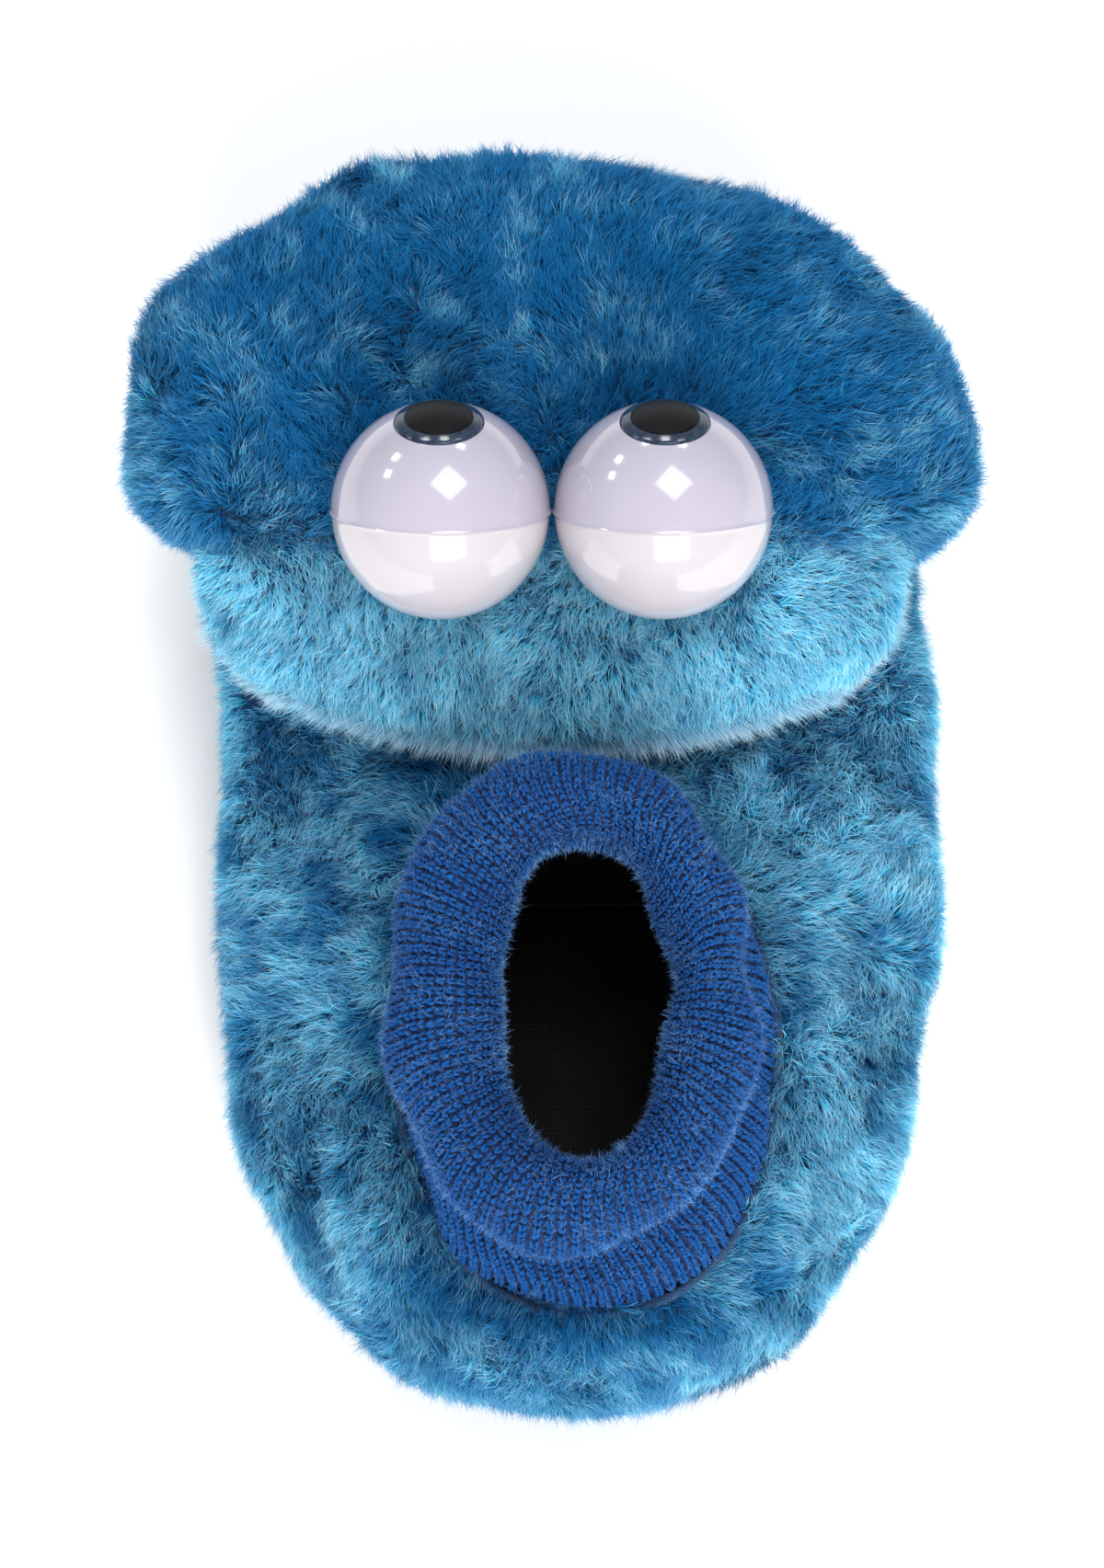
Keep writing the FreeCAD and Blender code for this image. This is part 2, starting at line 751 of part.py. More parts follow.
def make_upper_padding():
    """Wadding between the plush and the lining, in a quarter piece and a vamp piece."""
    wadding = body_core.common(box((-100, -140, size("board_top")), (100, 53, 120)))
    wadding = wadding.cut(collar_space(COLLAR_HEIGHT, True)).cut(lining_outer)
    wadding = wadding.cut(above_lip()).cut(frame_keepout)
    quarter = wadding.common(box((-120, -140, 0), (120, VAMP_START, 120)))
    keep_shape("quarter_padding", quarter)
    vamp = wadding.common(box((-120, VAMP_START, 0), (120, 60, 120)))
    keep_shape("vamp_padding", vamp)


def make_lining():
    shell = lining_outer.cut(cavity)
    low = size("board_top")
    shell = shell.common(box((-100, -140, low), (100, 140, 120)))
    shell = shell.cut(collar_space(COLLAR_HEIGHT, True))
    keep_shape("upper_lining", shell)


def make_binding():
    """Bias binding along the topline, on the edge of the plush."""
    rings = []
    for grow in (2.2, 0.0):
        stations = []
        for height in (60.2, 61.8):
            stations.append((height, COLLAR_TILT, 36.3 + grow, -110.3 - grow, -8.7 + grow))
        rings.append(loft(stations, -59.0, straight_foot, [3.0, 3.0]))
    keep_shape("topline_binding", rings[0].cut(rings[1]))


def make_cuff():
    outer = [
        (50.5, 0.10, 36.0, -110.0, -9.0),
        (61.0, 0.10, 35.8, -110.0, -9.2),
        (70.0, 0.08, 34.0, -107.5, -10.5),
        (79.0, 0.05, 31.2, -101.8, -12.2),
        (86.0, 0.03, 30.8, -100.0, -12.6),
        (93.0, 0.01, 32.4, -102.2, -11.6),
        (101.0, 0.0, 33.2, -103.2, -11.2),
        (107.5, 0.0, 31.2, -101.5, -13.2),
        (111.5, 0.0, 26.5, -96.5, -18.5),
    ]
    inner = [
        (48.0, 0.10, 31.2, -105.5, -13.6),
        (64.0, 0.10, 29.0, -103.0, -15.5),
        (80.0, 0.05, 23.0, -95.0, -21.0),
        (95.0, 0.02, 17.6, -89.0, -27.0),
        (106.0, 0.0, 16.6, -88.0, -27.0),
        (113.0, 0.0, 20.0, -92.0, -23.5),
    ]
    outer_leans = [3.0, 3.0, 2.6, 1.4, 0.4, -0.4, -0.7, -0.7, -0.6]
    outer_solid = loft(outer, -59.0, straight_foot, outer_leans)
    inner_solid = loft(inner, -58.0, straight_foot, [3.0, 3.0, 2.6, 2.2, 2.0, 1.4])
    keep_shape("ankle_cuff", outer_solid.cut(inner_solid))


def make_seam_tape():
    """A flat tape over the lining's seam, on the left wall of the foot space."""
    band = box((-100, -100, size("footbed_top")), (0, -40, size("footbed_top") + 8))
    waist = size("foot_waist")
    inner = loft(inset(CAVITY_STATIONS, 0.8, [0] * 8), waist, straight_foot, fullness=2.4)
    keep_shape("lining_seam_tape", cavity.cut(inner).common(band))


# ---------------------------------------------------------------- lower jaw, soft parts


def make_lower_jaw():
    low = size("board_top")
    top = size("lip_low") - size("lining_thickness")
    foam = body_core.common(box((-100, 53, low), (100, 140, top))).cut(frame_keepout)
    keep_shape("lower_jaw_padding", foam)
    felt = body_core.common(box((-100, size("mouth_corner"), top), (100, 140, size("lip_low"))))
    keep_shape("mouth_lining_lower", felt)
    station = (size("lip_low"), 0.0, 21.0, 66.0, 100.0)
    wire = outline_wire(station, 82.0, no_drift)
    keep_shape("tongue", Part.Face(wire).extrude(Z_AXIS * 2.6))
    corner = size("mouth_corner")
    gusset = box((-58, corner - 1.5, top), (58, corner, size("lip_high") + size("lining_thickness")))
    keep_shape("mouth_gusset", gusset)


# ---------------------------------------------------------------- head


FRONT_STATIONS = [
    (size("lip_high"), 0.0, 80.5, 42.0, 123.0),
    (52.0, 0.0, 86.5, 37.0, 129.0),
    (62.0, 0.0, 88.0, 34.0, 130.5),
    (72.0, 0.0, 86.0, 32.0, 128.0),
    (82.0, 0.0, 77.0, 30.0, 119.0),
    (89.0, 0.0, 62.0, 31.0, 105.0),
    (94.0, 0.0, 40.0, 38.0, 88.0),
]
FRONT_DROPS = [3.0, 0.0, 0.0, 1.0, 4.0, 6.0, 7.5]
BACK_STATIONS = [
    (47.0, 0.0, 66.0, 8.0, 90.0),
    (54.0, 0.0, 70.0, 3.0, 90.0),
    (63.0, 0.0, 73.0, 0.0, 90.0),
    (71.0, 0.0, 71.5, 1.5, 90.0),
    (79.0, 0.0, 63.0, 8.0, 88.0),
    (85.0, 0.0, 49.0, 17.0, 80.0),
    (89.0, 0.0, 30.0, 28.0, 72.0),
]
BACK_DROPS = [3.0, 0.0, 0.0, 1.0, 4.0, 6.0, 7.5]
HEAD_WAIST = 60.0
HEAD_TOES = [2.05] * 7
BACK_WAIST = 38.0

head_front = loft(FRONT_STATIONS, HEAD_WAIST, head_drift, fullness=3.0, toes=HEAD_TOES)
head_back = loft(BACK_STATIONS, BACK_WAIST, no_drift)
front_core_stations = inset(FRONT_STATIONS, size("head_pile"), FRONT_DROPS)
front_core = loft(front_core_stations, HEAD_WAIST, head_drift, fullness=3.0, toes=HEAD_TOES)
back_core = loft(inset(BACK_STATIONS, size("head_pile"), BACK_DROPS), BACK_WAIST, no_drift)


def head_underside(raise_by):
    """The space under the head, which clears the vamp while the head tips.

    It is high over the instep and lower at the cheeks, where the plush droops.
    """
    lip = size("lip_high") + raise_by
    lift = raise_by * 0.5
    front = [(160.0, lip), (40.0, lip)]
    floor = [(-20.0, 0.0), (160.0, 0.0)]
    instep = [(36.0, 54.0 + lift), (22.0, 60.0 + lift), (-20.0, 64.5 + lift)]
    cheeks = [(37.0, 51.0 + lift), (22.0, 53.0 + lift), (10.0, 56.5 + lift), (-20.0, 63.5 + lift)]
    return side_prism(front + cheeks + floor, 120.0).fuse(side_prism(front + instep + floor, 51.0))


def eye_centre(side):
    return Vector(side * size("eye_spread"), size("eye_y"), size("eye_z"))


def eye_pockets(gap):
    """The hollows that the eyes and their posts press into the plush and stuffing."""
    tools = []
    for side in (-1, 1):
        centre = eye_centre(side)
        tools.append(Part.makeSphere(size("eye_radius") + gap, centre))
        foot = Vector(centre.x, centre.y, size("bridge_low") - 4.0)
        tools.append(Part.makeCylinder(size("post_radius") + gap, centre.z - foot.z, foot))
    return tools


def bridge_space():
    """The hollow in the head for the hinge, the eye bridge and what is fixed to it."""
    top = size("bridge_low") + size("bridge_thickness") + 0.5
    return box((-50, 10, 0), (50, 59.5, top))


def make_head_soft_parts():
    pockets = eye_pockets(0.4) + [bridge_space()]
    low = size("lip_high")
    jaw_space = box((-50, 30, low - 1), (50, size("mouth_corner"), low + 4))
    front = head_front.cut([front_core, back_core, jaw_space]).cut(head_underside(0.0)).cut(pockets)
    front = front.cut(upper_frame.Shape)
    keep_shape("head_fur_front", front)
    back = head_back.cut(head_front).cut(back_core).cut(head_underside(0.0)).cut(pockets)
    keep_shape("head_fur_back", back)
    lift = size("lining_thickness") + size("frame_plate")
    stuffing = front_core.fuse(back_core).cut(head_underside(lift)).cut(pockets)
    keep_shape("head_stuffing", stuffing)
    felt = front_core.common(
        box((-100, size("mouth_corner"), low), (100, 140, low + size("lining_thickness")))
    )
    keep_shape("mouth_lining_upper", felt)


BRIDGE_SCREWS = [("-34", "54"), ("34", "54")]


def make_upper_jaw_frame():
    """A moulded plate over the mouth, with a web back to the barrel on the jaw pin."""
    body = new_body("upper_jaw_frame")
    low = "sizes.lip_high + sizes.lining_thickness"
    plate = polygon(
        body,
        "plate_outline",
        "XY_Plane",
        [
            ("-36", "40.5"),
            ("36", "40.5"),
            ("60", "56"),
            ("60", "80"),
            ("34", "103"),
            ("-34", "103"),
            ("-60", "80"),
            ("-60", "56"),
        ],
        low,
    )
    pad(body, "plate", plate, "sizes.frame_plate")
    web = polygon(
        body,
        "web_outline",
        "YZ_Plane",
        [
            ("sizes.jaw_pin_y + 1", "sizes.jaw_pin_z - 3.6"),
            ("40.5", low),
            ("46", f"{low} + sizes.frame_plate"),
            ("sizes.jaw_pin_y + 3", "sizes.jaw_pin_z + 2"),
        ],
    )
    pad(body, "web", web, "2 * sizes.jaw_barrel_half", symmetric=True)
    axis = [("sizes.jaw_pin_y", "sizes.jaw_pin_z")]
    barrel = circles(body, "barrel_outline", "YZ_Plane", axis, "sizes.jaw_barrel_radius")
    pad(body, "barrel", barrel, "2 * sizes.jaw_barrel_half", symmetric=True)
    bore_radius = "sizes.jaw_pin_radius + sizes.running_clearance"
    bore = circles(body, "bore_outline", "YZ_Plane", axis, bore_radius)
    pocket(body, "bore", bore, "2 * sizes.jaw_barrel_half + 2")
    screws = circles(body, "screw_outline", "XY_Plane", BRIDGE_SCREWS, "1.25", low)
    pocket(body, "screw_holes", screws, "2 * sizes.frame_plate + 1")
    doc.recompute()
    return body


def make_eye_bridge():
    """A bracket on the upper frame that carries both eye posts."""
    body = new_body("eye_bridge")
    floor = "sizes.lip_high + sizes.lining_thickness + sizes.frame_plate"
    top = "sizes.bridge_low + sizes.bridge_thickness"
    hat = polygon(
        body,
        "hat_outline",
        "XZ_Plane",
        [
            ("-38", floor),
            ("-28", floor),
            ("-28", "sizes.bridge_low"),
            ("28", "sizes.bridge_low"),
            ("28", floor),
            ("38", floor),
            ("38", f"{floor} + 2"),
            ("30", f"{floor} + 2"),
            ("30", top),
            ("-30", top),
            ("-30", f"{floor} + 2"),
            ("-38", f"{floor} + 2"),
        ],
        "-58",
    )
    pad(body, "hat", hat, "8")
    deck = rectangle(body, "deck_outline", "XY_Plane", ("-30", "28"), ("30", "52"), "sizes.bridge_low")
    pad(body, "deck", deck, "sizes.bridge_thickness")
    posts = [("-sizes.eye_spread", "sizes.eye_y"), ("sizes.eye_spread", "sizes.eye_y")]
    holes = circles(body, "post_outline", "XY_Plane", posts, "sizes.post_radius", "sizes.bridge_low")
    pocket(body, "post_holes", holes, "2 * sizes.bridge_thickness + 1")
    screws = circles(body, "screw_outline", "XY_Plane", BRIDGE_SCREWS, "1.25", floor)
    pocket(body, "screw_holes", screws, "5")


def make_bridge_screws():
    low = size("lip_high") + size("lining_thickness")
    top = low + size("frame_plate") + 2.0
    screws = []
    for x, y in BRIDGE_SCREWS:
        shank = Part.makeCylinder(1.2, top - low, Vector(float(x), float(y), low))
        head = Part.makeCylinder(2.3, 1.6, Vector(float(x), float(y), top))
        screws.append(shank.fuse(head))
    keep_shape("bridge_screws", Part.makeCompound(screws))


def turned(direction_tilt, side):
    """A placement at an eye whose own +Z points forward and up by the given angle."""
    tilt = Rotation(X_AXIS, -(90.0 - direction_tilt))
    return Placement(eye_centre(side), tilt)


def make_eyes():
    radius = size("eye_radius")
    inner = radius - size("eye_wall")
    ball = Part.makeSphere(radius).cut(Part.makeSphere(inner))
    front = ball.common(box((-50, -50, 0), (50, 50, 50)))
    back = ball.common(box((-50, -50, -50), (50, 50, 0)))
    lens = Part.makeSphere(radius + 0.45).cut(Part.makeSphere(radius))
    pupil_core = Part.makeCylinder(size("pupil_radius"), 50)
    iris_core = Part.makeCylinder(size("iris_radius"), 50)
    ring = Part.makeSphere(radius + 0.3).cut(Part.makeSphere(radius))
    pieces = {
        "eye_shell_front": (front, "eye_pole_tilt"),
        "eye_shell_back": (back, "eye_pole_tilt"),
        "iris": (ring.common(iris_core).cut(pupil_core), "gaze_tilt"),
        "pupil": (lens.common(pupil_core), "gaze_tilt"),
    }
    washers = []
    for name, side in (("left", -1), ("right", 1)):
        for label, (shape, tilt) in pieces.items():
            placed = shape.copy()
            placed.Placement = turned(size(tilt), side)
            keep_shape(f"{label}_{name}", placed)
        centre = eye_centre(side)
        foot = Vector(centre.x, centre.y, size("bridge_low") - 3.0)
        post = Part.makeCylinder(size("post_radius"), centre.z - foot.z, foot)
        keep_shape(f"eye_post_{name}", post.cut(Part.makeSphere(radius, centre)))
        low = Vector(centre.x, centre.y, size("bridge_low") - 1.5)
        disc = Part.makeCylinder(6.5, 1.5, low)
        washers.append(disc.cut(Part.makeCylinder(size("post_radius"), 1.5, low)))
    keep_shape("eye_lock_washers", Part.makeCompound(washers))


# ---------------------------------------------------------------- build


lower_frame = make_lower_jaw_frame()
pin_space = Part.makeCylinder(
    5.2, 100, Vector(-50, size("jaw_pin_y"), size("jaw_pin_z")), X_AXIS
)
well_space = Part.makeCylinder(
    size("cup_radius"), 60, Vector(0, size("bellows_y"), size("board_top"))
)
arm_space = [
    box((side * 41 - 4, 15, size("board_top")), (side * 41 + 4, 53, 66)) for side in (-1, 1)
]
screw_space = [
    Part.makeCylinder(2.6, 5, Vector(x, y, size("board_top"))) for x, y in FRAME_SCREWS
]
frame_keepout = lower_frame.Shape.fuse([pin_space, well_space] + arm_space + screw_space)

make_outsole()
make_grip_dots()
make_midsole()
make_board()
make_footbed_front()
make_frame_screws()
make_pump_base()
make_treadle_pin()
make_treadle()
make_footbed_heel()
make_pump()
make_air_line()
make_jaw_pin()
make_return_springs()
make_mouth_bellows()
make_body_fur()
make_upper_padding()
make_lining()
make_binding()
make_cuff()
make_seam_tape()
make_lower_jaw()
upper_frame = make_upper_jaw_frame()
make_head_soft_parts()
make_eye_bridge()
make_bridge_screws()
make_eyes()
doc.recompute()

for obj in doc.Objects:
    if "Invalid" in obj.State or "Error" in obj.State:
        raise RuntimeError(f"{obj.Name} failed: {obj.State}")

os.makedirs("parts", exist_ok=True)
for obj in sub_parts:
    shape = obj.Shape
    if shape.isNull() or not shape.isValid() or shape.Volume <= 0:
        raise RuntimeError(f"{obj.Label} has no valid shape")
    shape.exportStep(f"parts/{obj.Label}.step")
    limits = shape.BoundBox
    spans = [limits.XMin, limits.XMax, limits.YMin, limits.YMax, limits.ZMin, limits.ZMax]
    print(obj.Label, len(shape.Solids), round(shape.Volume), [round(v, 1) for v in spans])
print(len(sub_parts), "sub-parts")
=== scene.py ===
"""Blender scene of the plush monster slipper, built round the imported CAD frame.

Shapes are worked out in millimetres in the CAD's frame (+Y to the toe, +Z up) and written to
meshes in metres. The plush is real geometry: thousands of small tapered strands on cloth skins.
"""

import math

import bpy
import numpy as np
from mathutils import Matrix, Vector, kdtree


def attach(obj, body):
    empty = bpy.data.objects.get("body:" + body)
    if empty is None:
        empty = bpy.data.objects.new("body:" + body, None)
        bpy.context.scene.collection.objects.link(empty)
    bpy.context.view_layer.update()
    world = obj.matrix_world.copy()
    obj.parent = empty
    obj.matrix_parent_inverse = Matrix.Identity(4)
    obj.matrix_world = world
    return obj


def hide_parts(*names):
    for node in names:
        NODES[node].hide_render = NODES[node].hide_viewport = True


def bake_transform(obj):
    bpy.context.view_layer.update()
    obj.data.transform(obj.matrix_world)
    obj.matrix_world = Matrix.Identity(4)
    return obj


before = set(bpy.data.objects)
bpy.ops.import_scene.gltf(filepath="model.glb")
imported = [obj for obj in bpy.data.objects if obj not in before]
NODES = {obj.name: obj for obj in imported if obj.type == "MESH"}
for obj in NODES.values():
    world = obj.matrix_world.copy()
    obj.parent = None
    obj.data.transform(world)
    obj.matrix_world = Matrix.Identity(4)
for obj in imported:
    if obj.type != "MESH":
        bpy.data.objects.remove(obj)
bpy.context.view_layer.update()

MM = 0.001
UV_NAME = "OFBake"

# ------------------------------------------------------------------ numbers shared with the CAD

# Each row of BODY_STATIONS: height, tilt, half width, back, front, lean, fullness of the toe.
# Each row of FRONT_STATIONS and BACK_STATIONS, the head's two lobes: height, half width, back, front.

BODY_STATIONS = np.array([
    (4.5, 0.0, 64.0, -115.0, 114.0, 0.0, 2.8),
    (14.0, 0.0, 72.0, -124.6, 121.0, 0.0, 2.9),
    (26.0, 0.0, 75.5, -128.8, 125.5, 0.0, 2.9),
    (36.0, 0.0, 75.0, -128.5, 125.0, 0.0, 2.9),
    (40.5, 0.0, 74.0, -128.0, 121.0, 0.0, 2.9),
    (45.0, 0.02, 71.0, -127.0, 78.0, 0.0, 2.8),
    (53.0, 0.08, 63.0, -123.4, 36.0, 0.5, 2.5),
    (58.0, 0.10, 53.0, -118.5, 12.0, 1.5, 2.2),
    (60.0, 0.10, 43.0, -115.0, -2.0, 3.0, 2.2),
])
BODY_DROPS = np.array([0.5, 0.0, 0.0, 0.0, 0.0, 2.0, 3.5, 4.0, 4.5])
BODY_WAIST = -10.0
FRONT_STATIONS = np.array([
    (43.5, 80.5, 42.0, 123.0),
    (52.0, 86.5, 37.0, 129.0),
    (62.0, 88.0, 34.0, 130.5),
    (72.0, 86.0, 32.0, 128.0),
    (82.0, 77.0, 30.0, 119.0),
    (89.0, 62.0, 31.0, 105.0),
    (94.0, 40.0, 38.0, 88.0),
])
FRONT_DROPS = np.array([3.0, 0.0, 0.0, 1.0, 4.0, 6.0, 7.5])
BACK_STATIONS = np.array([
    (47.0, 66.0, 8.0, 90.0),
    (54.0, 70.0, 3.0, 90.0),
    (63.0, 73.0, 0.0, 90.0),
    (71.0, 71.5, 1.5, 90.0),
    (79.0, 63.0, 8.0, 88.0),
    (85.0, 49.0, 17.0, 80.0),
    (89.0, 30.0, 28.0, 72.0),
])
BACK_DROPS = np.array([3.0, 0.0, 0.0, 1.0, 4.0, 6.0, 7.5])
FRONT_WAIST = 60.0
FRONT_FULL = (3.0, 2.03)
BODY_FULL = 2.4
BACK_WAIST = 38.0
BODY_PILE = 9.0
HEAD_PILE = 8.0
SKIN_INSET = 4.4
FOOT_CENTRE = 4.0
LIP_LOW = 40.0
LIP_HIGH = 43.5
MOUTH_CORNER = 63.5
JAW_START = 36.0
TILT_CENTRE = -60.0
CUFF_WAIST = -59.0
CUFF_LEAN = 3.0
CUFF_FULL = 2.2
BACK_FULL = 2.2
CAVITY_WAIST = -55.0
CAVITY_FULL = 2.4
EYE_RADIUS = 21.0
EYE_CENTRES = [np.array([side * 21.3, 38.0, 100.0]) for side in (-1, 1)]
POLE_TILT = math.radians(31.0)
GAZE_TILT = math.radians(50.0)

# ------------------------------------------------------------------ small tools


def unit(v):
    return v / np.maximum(np.linalg.norm(v, axis=-1, keepdims=True), 1e-9)


def turns(count):
    """Angles once round, as many as asked."""
    return np.linspace(0.0, 2.0 * math.pi, count, endpoint=False)


def smoothstep(low, high, x):
    t = np.clip((x - low) / (high - low), 0.0, 1.0)
    return t * t * (3.0 - 2.0 * t)


class Noise:
    """A smooth field over space, made of seeded waves; about -1 to 1."""

    def __init__(self, seed, scale, parts=14):
        rng = np.random.default_rng(seed)
        direction = unit(rng.normal(size=(parts, 3)))
        self.waves = direction * (rng.uniform(0.6, 1.7, (parts, 1)) * 2.0 * math.pi / scale)
        self.phases = rng.uniform(0.0, 2.0 * math.pi, parts)
        self.gain = 1.5 / math.sqrt(parts)

    def __call__(self, points):
        flat = points.reshape(-1, 3)
        total = np.sin(flat @ self.waves.T + self.phases).sum(axis=1) * self.gain
        return total.reshape(points.shape[:-1])


def between_rows(table, count):
    """Catmull-Rom rows between the rows of a table."""
    table = np.asarray(table, float)
    last = len(table) - 1
    t = np.linspace(0.0, last, count)
    k = np.minimum(t.astype(int), last - 1)
    f = (t - k)[:, None]
    before = table[np.maximum(k - 1, 0)]
    start = table[k]
    end = table[k + 1]
    after = table[np.minimum(k + 2, last)]
    line = 2.0 * start + (end - before) * f
    curve = (2.0 * before - 5.0 * start + 4.0 * end - after) * f**2
    cubic = (3.0 * start - before - 3.0 * end + after) * f**3
    return 0.5 * (line + curve + cubic)


def egg(theta, half, back, front, waist, full=2.2, toe_full=None):
    """Points x, y of an egg-shaped outline round a waist; every input may be an array."""
    c, s = np.cos(theta), np.sin(theta)
    power = 2.0 / full
    if toe_full is not None:
        power = np.where(s > 0, 2.0 / toe_full, power)
    across = np.sign(c) * np.abs(c) ** power
    along = np.sign(s) * np.abs(s) ** power
    reach = np.where(s > 0, front - waist, waist - back)
    return half * across, waist + reach * along


def grid_normals(points, wrap=True):
    """Outward unit normals of a grid of points, rows by columns."""
    if wrap:
        side = np.roll(points, -1, axis=1) - np.roll(points, 1, axis=1)
    else:
        side = np.gradient(points, axis=1)
    up = np.gradient(points, axis=0)
    return unit(np.cross(side, up))


def grid_faces(rows, columns):
    """Quads of a grid, facing out where the columns run anticlockwise and the rows upward."""
    r = np.arange(rows - 1)[:, None] * columns
    c = np.arange(columns)[None, :]
    after = (c + 1) % columns
    corners = [r + c, r + after, r + columns + after, r + columns + c]
    return np.stack(corners, axis=-1).reshape(-1, 4)


def make_mesh(name, points, quads, tris, uv):
    """A smooth mesh from arrays: points in millimetres, faces, and a UV per vertex."""
    loops = np.concatenate([quads.ravel(), tris.ravel()]).astype(np.int32)
    starts = np.concatenate(
        [np.arange(len(quads)) * 4, len(quads) * 4 + np.arange(len(tris)) * 3]
    ).astype(np.int32)
    mesh = bpy.data.meshes.new(name)
    mesh.vertices.add(len(points))
    mesh.vertices.foreach_set("co", (np.asarray(points) * MM).astype(np.float32).ravel())
    mesh.loops.add(len(loops))
    mesh.loops.foreach_set("vertex_index", loops)
    mesh.polygons.add(len(starts))
    mesh.polygons.foreach_set("loop_start", starts)
    mesh.update(calc_edges=True)
    mesh.polygons.foreach_set("use_smooth", np.full(len(starts), True))
    layer = mesh.uv_layers.new(name=UV_NAME)
    layer.data.foreach_set("uv", np.asarray(uv, np.float32)[loops].ravel())
    return mesh


def add_object(name, data):
    """Makes an object and puts it in the scene."""
    made = bpy.data.objects.new(name, data)
    bpy.context.scene.collection.objects.link(made)
    return made


def add_piece(name, mesh, material, body=None, stands_for=()):
    """Puts a mesh in the scene with its material and its body."""
    piece = add_object(name, mesh)
    mesh.materials.append(material)
    if body:
        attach(piece, body)
    if stands_for:
        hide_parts(*stands_for)
    return piece


# ------------------------------------------------------------------ materials


def new_material(name, **values):
    """A Principled material whose plain sockets are set by name."""
    material = bpy.data.materials.new(name)
    material.use_nodes = True
    shader = material.node_tree.nodes["Principled BSDF"]
    for socket, value in values.items():
        shader.inputs[socket.replace("_", " ")].default_value = value
    return material, material.node_tree.nodes, material.node_tree.links, shader


def ramp(nodes, stops):
    """A colour ramp with (position, colour) stops."""
    node = nodes.new("ShaderNodeValToRGB")
    elements = node.color_ramp.elements
    while len(elements) < len(stops):
        elements.new(0.5)
    for element, (position, colour) in zip(elements, stops):
        element.position = position
        element.color = (*colour, 1.0)
    return node


def add_noise(nodes, links, place, scale, detail, roughness=0.5):
    """Noise over the object's own coordinates."""
    noise = nodes.new("ShaderNodeTexNoise")
    noise.inputs["Scale"].default_value = scale
    noise.inputs["Detail"].default_value = detail
    noise.inputs["Roughness"].default_value = roughness
    links.new(place.outputs["Object"], noise.inputs["Vector"])
    return noise.outputs["Fac"]


def add_bump(nodes, links, shader, height, strength, depth):
    """Relief from a height; depth is in metres."""
    raised = nodes.new("ShaderNodeBump")
    raised.inputs["Strength"].default_value = strength
    raised.inputs["Distance"].default_value = depth
    links.new(height, raised.inputs["Height"])
    links.new(raised.outputs["Normal"], shader.inputs["Normal"])


def add_colour(nodes, links, shader, factor, stops):
    """Base colour from a factor through a ramp."""
    colour = ramp(nodes, stops)
    links.new(factor, colour.inputs["Fac"])
    links.new(colour.outputs["Color"], shader.inputs["Base Color"])


def add_math(nodes, links, operation, *values):
    """A math node; each value is a number or an output to link."""
    node = nodes.new("ShaderNodeMath")
    node.operation = operation
    for socket, value in zip(node.inputs, values):
        if isinstance(value, float):
            socket.default_value = value
        else:
            links.new(value, socket)
    return node.outputs[0]


def mottled(name, stops, scale, bump=None, **values):
    """Colour from noise through a ramp, with an optional fine bump (scale, strength, depth)."""
    material, nodes, links, shader = new_material(name, **values)
    place = nodes.new("ShaderNodeTexCoord")
    add_colour(nodes, links, shader, add_noise(nodes, links, place, scale, 5.0, 0.6), stops)
    if bump:
        bump_scale, strength, depth = bump
        fine = add_noise(nodes, links, place, bump_scale, 4.0)
        add_bump(nodes, links, shader, fine, strength, depth)
    return material


def woven(name, dark, light, pitch, sheen=0.2):
    """Cloth with crossed threads of the given pitch in millimetres."""
    material, nodes, links, shader = new_material(
        name, Roughness=0.9, Sheen_Weight=sheen, Sheen_Roughness=0.5
    )
    place = nodes.new("ShaderNodeTexCoord")
    parts = nodes.new("ShaderNodeSeparateXYZ")
    links.new(place.outputs["Object"], parts.inputs["Vector"])
    waves = []
    for axis in ("X", "Y", "Z"):
        turns = 2.0 * math.pi / (pitch * MM)
        scaled = add_math(nodes, links, "MULTIPLY", parts.outputs[axis], turns)
        waves.append(add_math(nodes, links, "SINE", scaled))
    crossed = add_math(nodes, links, "ADD", waves[0], waves[1])
    crossed = add_math(nodes, links, "ADD", crossed, waves[2])
    spread = nodes.new("ShaderNodeMapRange")
    spread.inputs["From Min"].default_value = -2.0
    spread.inputs["From Max"].default_value = 2.0
    links.new(crossed, spread.inputs["Value"])
    threads = spread.outputs["Result"]
    blotches = add_noise(nodes, links, place, 90.0, 2.0)
    mixed = add_math(nodes, links, "MULTIPLY", threads, blotches)
    add_colour(nodes, links, shader, mixed, [(0.05, dark), (0.45, light)])
    add_bump(nodes, links, shader, threads, 0.6, pitch * 0.3 * MM)
    return material


def strand_material(name, dark_stops, light_stops, **values):
    """Fibre colour from the strands' UV map: U is the strand's tone, V runs from root to tip."""
    material, nodes, links, shader = new_material(name, **values)
    place = nodes.new("ShaderNodeUVMap")
    place.uv_map = UV_NAME
    parts = nodes.new("ShaderNodeSeparateXYZ")
    links.new(place.outputs["UV"], parts.inputs["Vector"])
    dark = ramp(nodes, dark_stops)
    light = ramp(nodes, light_stops)
    for node in (dark, light):
        links.new(parts.outputs["Y"], node.inputs["Fac"])
    mix = nodes.new("ShaderNodeMix")
    mix.data_type = "RGBA"
    links.new(parts.outputs["X"], mix.inputs["Factor"])
    links.new(dark.outputs["Color"], mix.inputs["A"])
    links.new(light.outputs["Color"], mix.inputs["B"])
    links.new(mix.outputs["Result"], shader.inputs["Base Color"])
    return material


